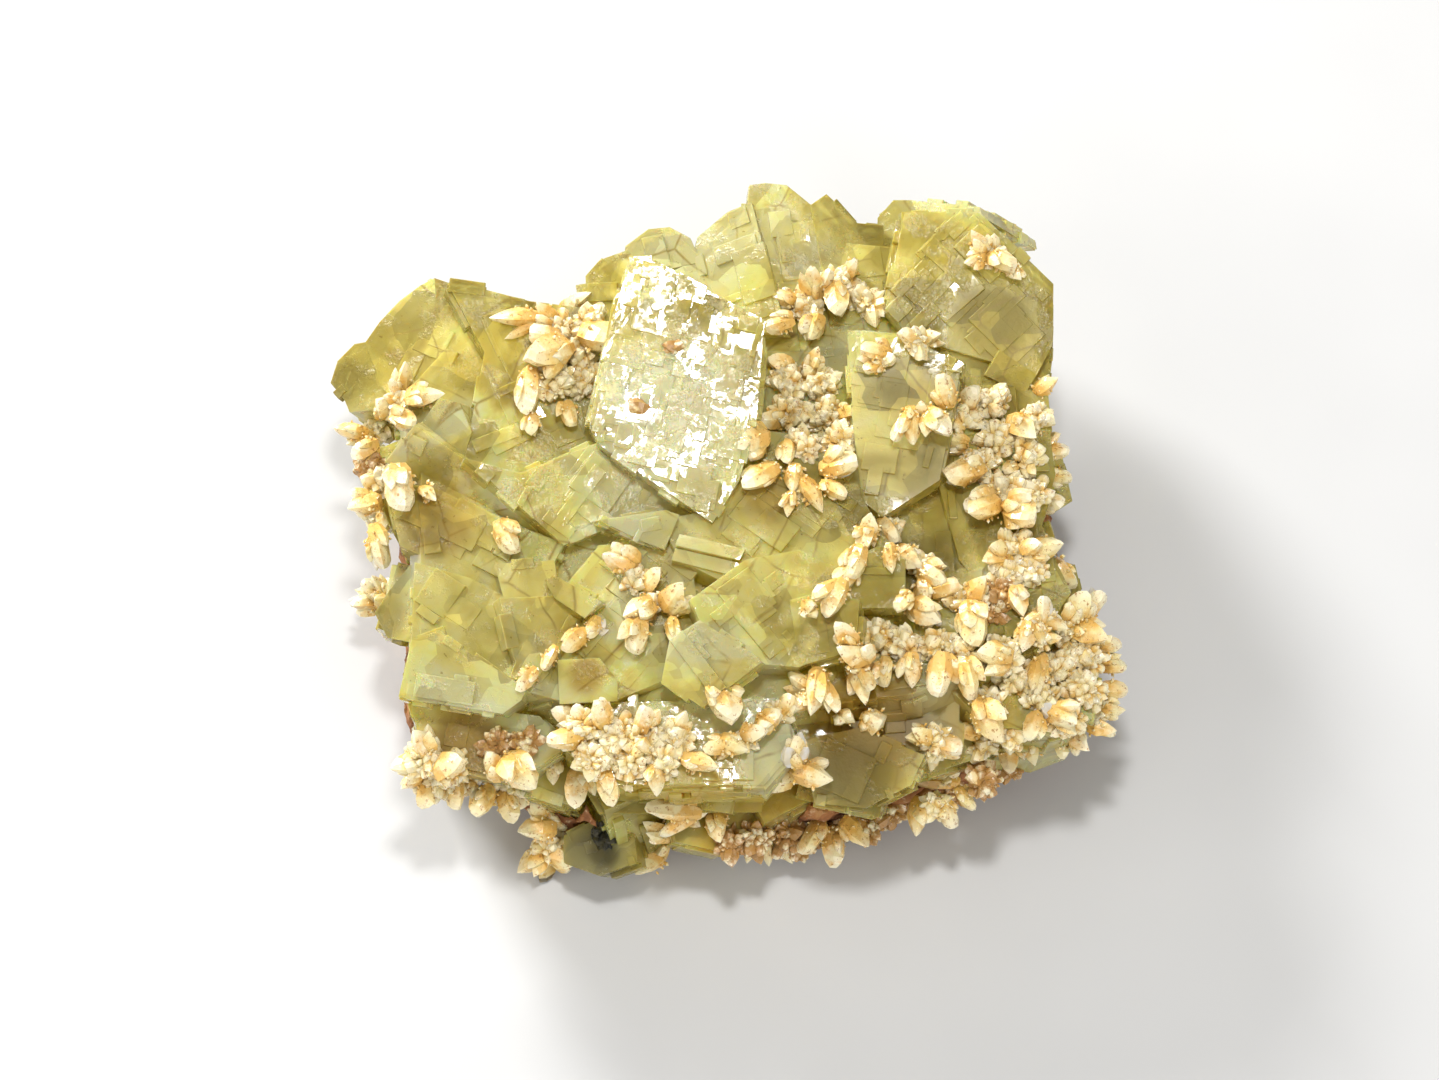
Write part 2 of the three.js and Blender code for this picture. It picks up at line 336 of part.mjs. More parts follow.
  calcite_lower_left_tip: { knots: [], crystals: [[-16.7, -22.9, 3.2, 1.9, -85, 25]] },
  calcite_bottom_chain: {
    knots: [[-17.4, -27.8, 1.5], [-17, -30.4, 1.6]],
    crystals: [[-17.6, -26.4, 3.4, 2.8, 130, 32], [-18.2, -28.9, 3.8, 2.9, 186, 20],
      [-18.6, -32, 3.8, 2.6, 218, 12], [-15.9, -31.4, 3.8, 2.8, -20, 32], [-17.3, -33, 3, 2.2, -105, 8]],
  },
  calcite_bottom_oval: {
    knots: [[-6.8, -30.4, 1.3]],
    crystals: [[-6.2, -29, 3.6, 2.6, 148, 28], [-7, -31.7, 4.6, 3.8, -130, 32]],
  },
  calcite_bottom_lens: { knots: [], crystals: [[-4.6, -27, 5.4, 2.4, 176, 15], [-2.4, -27.4, 2.6, 2, 10, 20]] },
  calcite_bottom_tip: { knots: [], crystals: [[-0.2, -28.5, 3.4, 2.6, -80, 22]] },
  calcite_bottom_white: {
    knots: [[7.6, -22.9, 1]],
    crystals: [[7.7, -21.2, 3.8, 2.4, 96, 36], [6.1, -24, 3.4, 3, -130, 32], [9.3, -23.4, 4.2, 3, -15, 25]],
  },
  calcite_fringe_middle: {
    knots: [[10.4, -29, 1.5], [12.6, -28.8, 1.5]],
    crystals: [[9.2, -29.6, 3.8, 2.8, -118, 15], [11.5, -30.6, 4, 2.8, -86, 12], [13.6, -29.2, 3.8, 2.8, -48, 20]],
  },
  calcite_fringe_left: {
    knots: [],
    crystals: [[3.2, -31, 2.6, 2, -110, 10], [4.9, -31, 3, 2.2, -88, 10], [6.6, -31, 2.8, 2.2, -62, 12]],
  },
  calcite_fringe_right: {
    knots: [[21.6, -26.6, 1.3]],
    crystals: [[19.8, -27.6, 3.8, 2.6, -95, 12], [22.8, -27.2, 3.2, 2.2, -65, 12], [24.6, -25.8, 2.8, 2, -50, 12]],
  },
};

// Calcite sprays on the back and sides, which nothing shows: root in the part's frame, turn of the spray
// round +Z, then the size and number of its crystals.
const SPRAYS = {
  calcite_back_left: { at: [-17, 24.5, 8.5], turn: 115, long: 4, points: 9 },
  calcite_back_middle: { at: [8, 32, 7.5], turn: 85, long: 4.2, points: 9 },
  calcite_back_right: { at: [27, 26, 8], turn: 50, long: 3.8, points: 8 },
  calcite_side_left: { at: [-33.5, -3, 7], turn: 185, long: 3.6, points: 8 },
};

const COLOURS = { rock: 0x7a4a24, fluorite: 0xd8cf8e, calcite: 0xe8cdaa };

/** Numbers from 0 to 1 in an order that a seed fixes. */
function seededNumbers(seed) {
  let state = seed;
  return () => {
    state = (state + 0x6d2b79f5) | 0;
    let mixed = Math.imul(state ^ (state >>> 15), 1 | state);
    mixed = (mixed + Math.imul(mixed ^ (mixed >>> 7), 61 | mixed)) ^ mixed;
    return ((mixed ^ (mixed >>> 14)) >>> 0) / 4294967296;
  };
}

/** A copy of a geometry that holds nothing but its places, with each corner there once. */
function welded(geometry) {
  const bare = geometry.clone();
  bare.deleteAttribute("normal");
  bare.deleteAttribute("uv");
  return mergeVertices(bare, WELD);
}

/** A closed three.js geometry as a solid. */
function solidOf(geometry, matrix = new THREE.Matrix4()) {
  const merged = welded(geometry).applyMatrix4(matrix);
  const vertProperties = new Float32Array(merged.attributes.position.array);
  const triVerts = new Uint32Array(merged.index.array);
  return new wasm.Manifold(new wasm.Mesh({ numProp: 3, vertProperties, triVerts }));
}

/** Joins a list of solids into one. */
function joined(solids) {
  return solids.reduce((whole, solid) => whole.add(solid));
}

/** A named mesh from a solid. */
function meshOf(name, solid, colour, roughness) {
  const { vertProperties, triVerts } = solid.getMesh();
  const geometry = new THREE.BufferGeometry();
  geometry.setAttribute("position", new THREE.BufferAttribute(vertProperties, 3));
  geometry.setIndex(new THREE.BufferAttribute(triVerts, 1));
  geometry.computeVertexNormals();
  const material = new THREE.MeshStandardMaterial({ color: colour, roughness, metalness: 0, flatShading: true });
  const mesh = new THREE.Mesh(geometry, material);
  mesh.name = name;
  return mesh;
}

/** How far out from the slanted plane the general surface lies at [x, y] on it. */
function generalSurface([x, y]) {
  const across = (x - CROWN_MIDDLE[0]) / CROWN_REACH[0];
  const along = (y - CROWN_MIDDLE[1]) / CROWN_REACH[1];
  const height = CROWN_HEIGHT - CROWN_DROP * (across * across + along * along);
  const crown = (height - SHOW_MIDDLE.z - UP.z * y) / OUT.z;
  const wall = WALL_TOP_OUT + WALL_FALL * (y - WALL_TOP_Y);
  return Math.min(crown, wall);
}

/** The point that is seen at [x, y], out from the slanted plane. */
function seenAt([x, y], out) {
  const nearer = (EYE_DISTANCE - out) / EYE_DISTANCE;
  return SHOW_MIDDLE.clone()
    .addScaledVector(RIGHT, x * nearer)
    .addScaledVector(UP, y * nearer)
    .addScaledVector(OUT, out);
}

/** The mean of an outline's corners. */
function middleOf(outline) {
  const sum = outline.reduce(([a, b], [x, y]) => [a + x, b + y], [0, 0]);
  return [sum[0] / outline.length, sum[1] / outline.length];
}

/** The plane of a fluorite face: a point on it and its normal. */
function facePlane({ face, rise, lean }) {
  const middle = middleOf(face);
  const normal = OUT.clone().addScaledVector(RIGHT, lean[0]).addScaledVector(UP, lean[1]).normalize();
  return { point: seenAt(middle, generalSurface(middle) + rise), normal };
}

/** Where the sight line through [x, y] meets a plane. */
function onPlane({ point, normal }, [x, y]) {
  const sight = seenAt([x, y], 0).sub(EYE);
  const reach = point.clone().sub(EYE).dot(normal) / sight.dot(normal);
  return EYE.clone().addScaledVector(sight, reach);
}

/** Moves each side of a counterclockwise outline outwards. */
function widened(corners, distance) {
  const lines = corners.map((corner, i) => {
    const along = corners[(i + 1) % corners.length].clone().sub(corner).normalize();
    return { start: new THREE.Vector2(along.y, -along.x).multiplyScalar(distance).add(corner), along };
  });
  return lines.map((line, i) => {
    const before = lines[(i + lines.length - 1) % lines.length];
    const turn = before.along.cross(line.along);
    if (Math.abs(turn) < PARALLEL) return line.start;
    const reach = line.start.clone().sub(before.start).cross(line.along) / turn;
    return before.start.clone().addScaledVector(before.along, reach);
  });
}

/** A fluorite crystal as a prism behind its face, made larger by grow on every side. */
function fluoriteCrystal(crystal, grow = 0) {
  const plane = facePlane(crystal);
  const across = RIGHT.clone().addScaledVector(plane.normal, -RIGHT.dot(plane.normal)).normalize();
  const along = plane.normal.clone().cross(across);
  let corners = crystal.face.map((place) => {
    const offset = onPlane(plane, place).sub(plane.point);
    return new THREE.Vector2(offset.dot(across), offset.dot(along));
  });
  if (THREE.ShapeUtils.area(corners) < 0) corners.reverse();
  corners = widened(corners, grow);
  const depth = crystal.deep + 2 * grow;
  const prism = new THREE.ExtrudeGeometry(new THREE.Shape(corners), { depth, bevelEnabled: false });
  const foot = plane.point.clone().addScaledVector(plane.normal, -crystal.deep - grow);
  return solidOf(prism, new THREE.Matrix4().makeBasis(across, along, plane.normal).setPosition(foot));
}

/** A plain cube low on a side. */
function sideCube({ at, edge, turn, tilt }, grow = 0) {
  const side = edge + 2 * grow;
  const euler = new THREE.Euler(THREE.MathUtils.degToRad(tilt), 0, THREE.MathUtils.degToRad(turn), "ZXY");
  const matrix = new THREE.Matrix4().makeRotationFromEuler(euler).setPosition(...at);
  return solidOf(new THREE.BoxGeometry(side, side, side), matrix);
}

/** A lump with a flat bottom: an outline, drawn in or out at each level, with rough sides. */
function lump(outline, levels, roughness, seed, grow = 0) {
  const random = seededNumbers(seed);
  const rows = levels.length - 1;
  const merged = welded(new THREE.CylinderGeometry(1, 1, 1, outline.length, rows));
  const noise = levels.map(() => outline.map(() => (random() - 0.5) * 2 * roughness));
  const middle = middleOf(outline);
  const positions = merged.attributes.position;
  for (let i = 0; i < positions.count; i += 1) {
    const level = Math.round((positions.getY(i) + 0.5) * rows);
    const [height, inset] = levels[level];
    const lift = level === 0 ? -grow : level === rows ? grow : 0;
    const radius = Math.hypot(positions.getX(i), positions.getZ(i));
    if (radius < 0.5) {
      positions.setXYZ(i, middle[0], middle[1], height + lift);
      continue;
    }
    const share = Math.atan2(positions.getX(i), positions.getZ(i)) / (2 * Math.PI);
    const corner = Math.round((share + 1) * outline.length) % outline.length;
    const [x, y] = outline[corner];
    const reach = Math.hypot(x - middle[0], y - middle[1]);
    const scale = (reach + inset + noise[level][corner] + grow) / reach;
    positions.setXYZ(i, middle[0] + (x - middle[0]) * scale, middle[1] + (y - middle[1]) * scale, height + lift);
  }
  return solidOf(merged);
}

/** Everything over a height, as a solid to cut with. */
function spaceOver(height) {
  const matrix = new THREE.Matrix4().setPosition(0, 0, height + WORKING_SPACE / 2);
  return solidOf(new THREE.BoxGeometry(WORKING_SPACE, WORKING_SPACE, WORKING_SPACE), matrix);
}

/** The joined fluorite, made larger by grow on every side. */
function fluorite(grow = 0) {
  const crystals = FLUORITE.map((crystal) => fluoriteCrystal(crystal, grow));
  const cubes = SIDE_CUBES.map((cube) => sideCube(cube, grow));
  const core = lump(CORE_OUTLINE, CORE_LEVELS, CORE_ROUGHNESS, CORE_SEED, grow);
  return joined([core, ...crystals, ...cubes]).intersect(spaceOver(LOWEST_FLUORITE - grow));
}

/** A five-sided calcite crystal from its root, along a direction. */
function dogTooth(root, direction, long, wide, spin, grow = 0) {
  const half = wide / 2 + grow;
  const whole = long + 2 * grow;
  const profile = [[0, 0], [half, whole * TOOTH_WIDEST], [0, whole]].map(([x, y]) => new THREE.Vector2(x, y));
  const tooth = new THREE.LatheGeometry(profile, TOOTH_SIDES, spin);
  const turn = new THREE.Quaternion().setFromUnitVectors(new THREE.Vector3(0, 1, 0), direction);
  const start = root.clone().addScaledVector(direction, -grow);
  return solidOf(tooth, new THREE.Matrix4().compose(start, turn, new THREE.Vector3(1, 1, 1)));
}

/** How far out the fluorite or the rock lies where the sight line through [x, y] meets it. */
function surfaceOut(place) {
  const sight = seenAt(place, 0).sub(EYE).normalize();
  const hits = new THREE.Raycaster(EYE, sight).intersectObjects(ground);
  if (hits.length === 0) return generalSurface(place) - MISSED_DEPTH;
  return hits[0].point.sub(SHOW_MIDDLE).dot(OUT);
}

/** One placed crystal of a patch. */
function placedTooth([x, y, long, wide, turn, lift], spin, grow) {
  const angle = THREE.MathUtils.degToRad(turn);
  const raise = THREE.MathUtils.degToRad(lift);
  const direction = new THREE.Vector3()
    .addScaledVector(RIGHT, Math.cos(angle) * Math.cos(raise))
    .addScaledVector(UP, Math.sin(angle) * Math.cos(raise))
    .addScaledVector(OUT, Math.sin(raise));
  const root = seenAt([x, y], surfaceOut([x, y]) + wide * TOOTH_STANDS_OUT);
  root.addScaledVector(direction, -long / 2).addScaledVector(OUT, (Math.sin(raise) * long) / 2);
  return dogTooth(root, direction, long, wide, spin, grow);
}

/** A knot: a lump on the surface. */
function knot([x, y, radius], grow) {
  const centre = seenAt([x, y], surfaceOut([x, y]) + radius * KNOT_STANDS_OUT);
  const ball = new THREE.OctahedronGeometry(radius * KNOT_SIZE + grow, 0);
  return solidOf(ball, new THREE.Matrix4().setPosition(centre));
}

/** A patch of calcite on the crystal side. */
function patch({ knots, crystals }, seed, grow = 0) {
  const random = seededNumbers(seed);
  const parts = crystals.map((crystal) => placedTooth(crystal, random() * Math.PI, grow));
  const lumps = knots.map((place) => knot(place, grow));
  return joined([...parts, ...lumps]);
}

/** A spray of calcite on the back or a side. */
function spray({ at, turn, long, points }, seed, grow = 0) {
  const random = seededNumbers(seed);
  const centre = new THREE.Vector3(...at);
  const ball = new THREE.IcosahedronGeometry(long * SPRAY_HEART + grow, 0);
  const parts = [solidOf(ball, new THREE.Matrix4().setPosition(centre))];
  for (let i = 0; i < points; i += 1) {
    const around = THREE.MathUtils.degToRad(turn) + (random() - 0.5) * SPRAY_SPREAD;
    const raise = (i / points - SPRAY_LOWEST) * SPRAY_RISE + random() * 0.3;
    const direction = new THREE.Vector3(
      Math.cos(around) * Math.cos(raise), Math.sin(around) * Math.cos(raise), Math.sin(raise));
    const reach = long * (0.8 + random() * 0.35);
    parts.push(dogTooth(centre, direction, reach, long * SPRAY_WIDTH, random() * Math.PI, grow));
  }
  return joined(parts);
}

/** The separate bodies of a solid, largest first, without the small ones beside the largest. */
function bodiesOf(solid, smoothing = SMOOTHING) {
  const bodies = solid.simplify(smoothing).decompose().sort((a, b) => b.volume() - a.volume());
  return bodies.filter((body, i) => i === 0 || body.volume() > SMALLEST_BODY);
}

const specimen = new THREE.Group();
const rock = (grow) => lump(ROCK_OUTLINE, ROCK_LEVELS, ROCK_ROUGHNESS, ROCK_SEED, grow);
const fluoriteSolid = bodiesOf(fluorite())[0];
const rockSolid = bodiesOf(rock(0).subtract(fluorite(ROCK_GAP)), HIDDEN_SMOOTHING)[0];
const ground = [
  meshOf("matrix_rock", rockSolid, COLOURS.rock, 0.9),
  meshOf("fluorite_cluster", fluoriteSolid, COLOURS.fluorite, 0.25),
];
specimen.add(...ground);

// Each calcite patch is cut back to its clearance from the fluorite, the rock and the patches before it. A
// patch that the cut leaves in several bodies becomes one mesh for each body.
let taken = fluorite(GAP).add(rock(GAP));
const groups = [
  ...Object.entries(PATCHES).map(([name, shape]) => ({ name, make: (seed, grow) => patch(shape, seed, grow) })),
  ...Object.entries(SPRAYS).map(([name, shape]) => ({ name, make: (seed, grow) => spray(shape, seed, grow) })),
];
groups.forEach(({ name, make }, i) => {
  const seed = FIRST_PATCH_SEED + i;
  const solid = make(seed, 0).subtract(taken).intersect(spaceOver(LOWEST_CALCITE));
  bodiesOf(solid).forEach((body, part) => {
    const label = part === 0 ? name : `${name}_${part + 1}`;
    specimen.add(meshOf(label, body, COLOURS.calcite, 0.35));
  });
  taken = taken.add(make(seed, PATCH_GAP));
});

export default specimen;
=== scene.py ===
"""Looks of the fluorite specimen: stepped yellow cubes, dog-tooth calcite and rusty rock, on the part."""

import json
import math
import random

import bmesh
import bpy
import numpy as np
from mathutils import Euler, Matrix, Quaternion, Vector, noise as waves
from mathutils.bvhtree import BVHTree

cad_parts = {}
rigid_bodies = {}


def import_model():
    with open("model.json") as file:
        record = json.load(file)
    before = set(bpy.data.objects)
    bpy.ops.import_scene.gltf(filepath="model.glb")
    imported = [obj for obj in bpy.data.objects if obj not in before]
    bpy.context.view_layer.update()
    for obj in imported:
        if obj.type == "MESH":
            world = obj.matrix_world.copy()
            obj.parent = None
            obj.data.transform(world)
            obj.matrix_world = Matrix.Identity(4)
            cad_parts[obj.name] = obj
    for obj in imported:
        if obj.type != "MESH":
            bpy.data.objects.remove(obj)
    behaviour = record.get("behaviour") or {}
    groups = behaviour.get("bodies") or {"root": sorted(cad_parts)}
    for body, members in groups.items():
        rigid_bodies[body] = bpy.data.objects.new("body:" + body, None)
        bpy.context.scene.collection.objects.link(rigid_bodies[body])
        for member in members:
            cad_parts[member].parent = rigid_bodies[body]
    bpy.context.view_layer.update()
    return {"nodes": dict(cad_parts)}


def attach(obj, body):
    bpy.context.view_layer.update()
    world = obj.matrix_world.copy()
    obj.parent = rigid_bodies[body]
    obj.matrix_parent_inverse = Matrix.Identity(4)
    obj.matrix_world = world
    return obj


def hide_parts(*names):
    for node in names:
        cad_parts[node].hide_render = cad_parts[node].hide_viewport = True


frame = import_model()
NODES = frame["nodes"]
MM = 0.001

# The crystal side is laid out as the camera sees it. A place on it is (x, y) in millimetres, x to the right
# and y up, on a slanted plane through SHOW_MIDDLE, the same plane as the CAD part uses.
SHOW_ELEVATION = math.radians(65)
EYE_DISTANCE = 800 * MM
SHOW_MIDDLE = Vector((0, 0, 15 * MM))
RIGHT = Vector((1, 0, 0))
UP = Vector((0, math.sin(SHOW_ELEVATION), math.cos(SHOW_ELEVATION)))
OUT = Vector((0, -math.cos(SHOW_ELEVATION), math.sin(SHOW_ELEVATION)))
EYE = SHOW_MIDDLE + OUT * EYE_DISTANCE
PHOTO_WIDTH_MM = 143.9  # how much of the slanted plane the photograph's width takes in
SENSOR_WIDTH_MM = 36

# The general surface of the crystal side, for crystals that stand past its edge
CROWN_HEIGHT = 25.5
CROWN_DROP = 6
CROWN_MIDDLE = (0, 5)
CROWN_REACH = (40, 36)
WALL_TOP_Y = -20
WALL_TOP_OUT = 18.4
WALL_FALL = 1.255
MISSED_DEPTH = 4
WELD = 0.002 * MM  # corners closer than this are one corner

# Calcite on the crystal side. A knot is [x, y, radius], a lump of small crystals. A crystal is [x, y, length,
# width, direction of its tip in degrees, lift of the tip out of the surface], in millimetres and degrees.
PATCHES = {
    "calcite_left_upper": {
        "knots": [[-34, 11.6, 1.9], [-32, 13.4, 1.6]],
        "crystals": [[-36.8, 10.9, 3.4, 2.2, 170, 15], [-29.4, 14.3, 4.2, 2.4, 8, 25],
                     [-31.6, 16, 3.8, 2.2, 82, 25], [-33.4, 13.2, 3.2, 2.6, 130, 60],
                     [-35.4, 9, 3, 2.2, 215, 20], [-31.4, 12, 3.2, 2.4, -30, 45]],
    },
    "calcite_left_edge": {
        "knots": [[-33.6, 6, 1.8], [-34, 2.6, 1.7]],
        "crystals": [[-35.2, 7, 3, 2.4, 180, 30], [-31.8, 5.2, 5, 3.4, -80, 30],
                     [-29, 4.6, 2.4, 1.8, -45, 40], [-35.4, 3.6, 3.4, 2.7, 195, 15],
                     [-34, -0.6, 4.4, 3, -76, 12], [-33.2, 2, 3, 2.4, 250, 40]],
    },
    "calcite_left_single": {
        "knots": [],
        "crystals": [[-21.2, 0.3, 3.8, 2.6, -60, 25]],
    },
    "calcite_top_left": {
        "knots": [[-16, 20.6, 2.2], [-13, 21.6, 1.8], [-16.4, 15.8, 2.2], [-13.6, 15.6, 1.9],
                  [-14.2, 18.4, 2]],
        "crystals": [[-20.3, 22.2, 5, 2.4, 180, 8], [-14.3, 23.4, 4.4, 2.8, 40, 35],
                     [-17.2, 18.8, 5.2, 4.2, 200, 45], [-12.2, 20.2, 4.4, 3.8, -20, 50],
                     [-19, 14.9, 4.8, 2.8, -95, 20], [-18.8, 11.6, 2.4, 2, -90, 30],
                     [-15, 12.6, 2.8, 2, -70, 30], [-17.4, 22.6, 3, 2.2, 130, 30]],
    },
    "calcite_top_centre": {
        "knots": [[8.6, 23.2, 1.9], [11.6, 25.4, 1.8], [14.4, 23.6, 1.6]],
        "crystals": [[9.4, 25.4, 4.4, 2.4, 100, 35], [13.2, 27.1, 2.8, 2, 60, 45],
                     [11.8, 24, 4, 3, -80, 40], [15.9, 23.4, 3, 2, 15, 25], [14.6, 24.4, 2.8, 2, 130, 25],
                     [15.4, 22.4, 2.6, 2, -80, 30], [9.4, 21.2, 3.2, 2.8, -110, 40],
                     [6.7, 24, 3, 2.2, 165, 30], [6, 21.6, 3, 2.2, 195, 25]],
    },
    "calcite_centre": {
        "knots": [[6.8, 15.6, 2], [9.8, 15.4, 2], [7.2, 12.4, 2.1], [10.6, 12, 2.2], [8.4, 9.4, 1.8],
                  [12.2, 9.8, 1.6]],
        "crystals": [[6.1, 17.7, 3, 2.2, 160, 35], [3.3, 9.8, 4, 3.4, 205, 40],
                     [4.1, 6.3, 4.2, 2.6, -150, 25], [6.8, 8.8, 2.8, 1.9, -90, 40],
                     [11.9, 7.5, 4.4, 3, 12, 40], [9.2, 4.6, 4.2, 2.2, -60, 20],
                     [11.4, 5, 3, 2.2, -30, 30], [5, 12, 3, 2.4, 180, 35], [9.4, 18, 3, 2.2, 70, 30],
                     [12.8, 12.6, 3, 2.2, 10, 25], [7.4, 6.2, 3, 2.2, -95, 30]],
    },
    "calcite_centre_tip": {
        "knots": [],
        "crystals": [[7, 3.6, 2.6, 1.7, -100, 20]],
    },
    "calcite_cube_top": {
        "knots": [[27.2, 28.4, 1.4]],
        "crystals": [[25.9, 29.8, 3, 2, 125, 30], [28.2, 27.8, 3.4, 2.4, -30, 35],
                     [25.6, 28, 2.6, 2, 200, 30], [29.4, 26.8, 2.4, 1.8, -50, 30]],
    },
    "calcite_ledge_left": {
        "knots": [],
        "crystals": [[15.6, 18.8, 3.2, 2.2, 172, 28], [15.4, 17.3, 2.2, 1.6, 200, 28],
                     [16.8, 18, 1.8, 1.6, 20, 40]],
    },
    "calcite_ledge_right": {
        "knots": [[19.9, 19.8, 1.1]],
        "crystals": [[19, 20.2, 2.8, 2, 150, 35], [21, 20.2, 2.6, 1.8, 20, 35],
                     [19.9, 18.9, 2.2, 1.6, -70, 35]],
    },
    "calcite_face_pair": {
        "knots": [],
        "crystals": [[19.2, 11.4, 4.2, 2.3, -85, 32], [21.8, 11.8, 3.8, 2.7, -50, 36],
                     [20.3, 12.8, 2.4, 1.8, 100, 40]],
    },
    "calcite_right_band": {
        "knots": [[24.6, 12.2, 1.9], [27.2, 13.6, 1.8], [28, 10, 2.1], [26.2, 7.4, 2], [30.4, 8, 2],
                  [31.6, 12, 1.6], [28.4, 4.8, 2], [31.4, 4.4, 1.7]],
        "crystals": [[22.5, 14.9, 3.6, 2.4, 110, 28], [25, 14.2, 3.2, 2.6, 60, 50],
                     [24.4, 6.9, 4.4, 3.4, 190, 35], [30.3, 11.2, 4.2, 3.4, -40, 45],
                     [26.3, 3.4, 4.4, 3.6, 205, 45], [30, 2.6, 4, 3.6, -20, 50], [33, 3.8, 3, 2.4, 10, 20],
                     [32.6, 15.4, 2.8, 2, 35, 15], [33.4, 9, 3, 2.2, 0, 15], [33.8, 6.4, 2.8, 2, -10, 15],
                     [23.4, 9.8, 3, 2.2, 170, 30]],
    },
    "calcite_right_edge": {
        "knots": [[29.4, -1, 1.9], [28.6, -4, 1.9], [31.4, -3.4, 1.7]],
        "crystals": [[32.2, -0.8, 4.2, 3, 12, 20], [34.4, -3.4, 3.4, 2.4, -50, 12],
                     [27.6, -1.6, 3.4, 2.6, 200, 35], [29.8, -6.2, 3.2, 2.4, -70, 30]],
    },
    "calcite_arch_left": {
        "knots": [],
        "crystals": [[14.9, 1.4, 3, 2.4, 80, 35], [14.5, 0, 3.4, 2.5, -105, 30],
                     [13.7, -2.2, 3.6, 2.5, -110, 30], [12.7, -4, 3.4, 2.4, -120, 25],
                     [11.5, -5.8, 4, 2.6, -115, 12]],
    },
    "calcite_arch_right": {
        "knots": [[17, 0.6, 1.3], [20.4, -2.8, 1.5]],
        "crystals": [[16.9, 0.9, 3.4, 2.6, -50, 42], [17.1, -1.8, 3, 1.9, -85, 20],
                     [19, -1.8, 3.6, 2.8, -40, 38], [21.2, -3.4, 3.6, 2.8, -30, 38],
                     [22.4, -4.8, 3.2, 2.6, 20, 28], [20.4, -5.4, 3, 2.4, -80, 30]],
    },
    "calcite_arch_foot": {
        "knots": [],
        "crystals": [[18.4, -6.2, 2.4, 2, -130, 28], [20.6, -7.3, 4, 3.2, -30, 38],
                     [19.4, -7.2, 2.4, 2, -90, 40]],
    },
    "calcite_hex_single": {
        "knots": [],
        "crystals": [[8.9, -6.6, 2.6, 2, 0, 70]],
    },
    "calcite_right_middle": {
        "knots": [[25, -6.6, 1.6]],
        "crystals": [[25.7, -5, 3.6, 2.8, 60, 32], [23.4, -6.2, 2.6, 1.9, 172, 25],
                     [25.4, -8.4, 4.6, 3.6, -80, 28]],
    },
    "calcite_lower_right_star": {
        "knots": [[31.6, -9.6, 1.7], [34.6, -9.2, 2], [36.6, -11.6, 1.8]],
        "crystals": [[32.4, -7.2, 3.4, 2, 92, 30], [33.4, -8.2, 3.2, 2, -25, 28],
                     [31.2, -8, 3, 2, 205, 28], [35.6, -7, 4.4, 3.2, 62, 25],
                     [37.2, -6.6, 3.6, 2.4, 45, 22], [36.9, -9.4, 4, 3, -15, 28],
                     [30.6, -9.6, 3.4, 2.4, -105, 28], [38.6, -10.6, 3, 2.2, 10, 12]],
    },
    "calcite_lower_right": {
        "knots": [[28, -11.6, 2], [29.6, -14, 2], [33.6, -13, 2.2], [36.4, -15, 2], [32.2, -16.4, 2],
                  [34.8, -18, 1.8], [37.2, -17.4, 1.5]],
        "crystals": [[27.4, -11.4, 4.2, 3.2, 170, 40], [31.8, -13.6, 4.8, 2.6, -95, 25],
                     [34, -17.6, 4.2, 2.8, -25, 42], [39, -17, 3, 2, 0, 12],
                     [38, -18.7, 3.2, 2.2, -12, 12], [35.9, -20, 2.8, 2, -45, 12],
                     [34.2, -20.6, 2.4, 1.7, -80, 10], [39.2, -12.6, 2.8, 2, 0, 12],
                     [39.2, -15, 3, 2.2, -5, 12], [31.4, -18.6, 3, 2.2, -110, 20]],
    },
    "calcite_lower_right_tips": {
        "knots": [[26.8, -16.4, 1.6], [29, -19.4, 1.6], [26.6, -20.6, 1.5]],
        "crystals": [[27, -18, 5, 3.6, -60, 25], [29, -21.4, 3.6, 2.4, -90, 15],
                     [31.3, -21.2, 2.6, 2, -80, 15], [25.5, -22.4, 2.8, 2, -110, 15],
                     [25, -19.2, 2.8, 2.2, 170, 25]],
    },
    "calcite_recess_band": {
        "knots": [[15.8, -9.8, 2.1], [18.6, -10.6, 1.9], [21.4, -10.8, 1.9], [24.2, -11.4, 1.8]],
        "crystals": [[13.2, -11.4, 4, 3.2, 155, 38], [14.2, -14, 4.8, 3, -82, 20],
                     [16.5, -13.2, 3, 2.2, -92, 25], [19.2, -13, 3.6, 2.4, -90, 25],
                     [22, -13.4, 4.4, 3, -97, 20], [24.8, -13.8, 4.2, 3, -75, 20],
                     [12.6, -9.4, 3.2, 2.4, 130, 30]],
    },
    "calcite_recess_glint": {
        "knots": [],
        "crystals": [[9.5, -15.1, 5, 2.8, -100, 28], [8.3, -14.4, 3.2, 2.2, 150, 32],
                     [8.2, -16.2, 3, 2.2, 220, 28]],
    },
    "calcite_hex_left": {
        "knots": [],
        "crystals": [[12.6, -17.6, 2.6, 2.1, 0, 70]],
    },
    "calcite_hex_right": {
        "knots": [],
        "crystals": [[15.5, -18, 3.2, 3, 0, 66]],
    },
    "calcite_crust_right": {
        "knots": [[21.6, -20.2, 1.7]],
        "crystals": [[20.3, -19.4, 3, 2.4, 150, 35], [22.9, -20.6, 3, 2.4, -20, 35],
                     [21.3, -21.8, 2.8, 2, -100, 28]],
    },
    "calcite_lens_right": {
        "knots": [],
        "crystals": [[21.2, -24, 5.4, 2.3, 176, 8], [22.8, -23.6, 2.6, 2, 20, 20]],
    },
    "calcite_middle": {
        "knots": [[-8.4, -4.2, 1.6], [-6.6, -6.6, 1.5]],
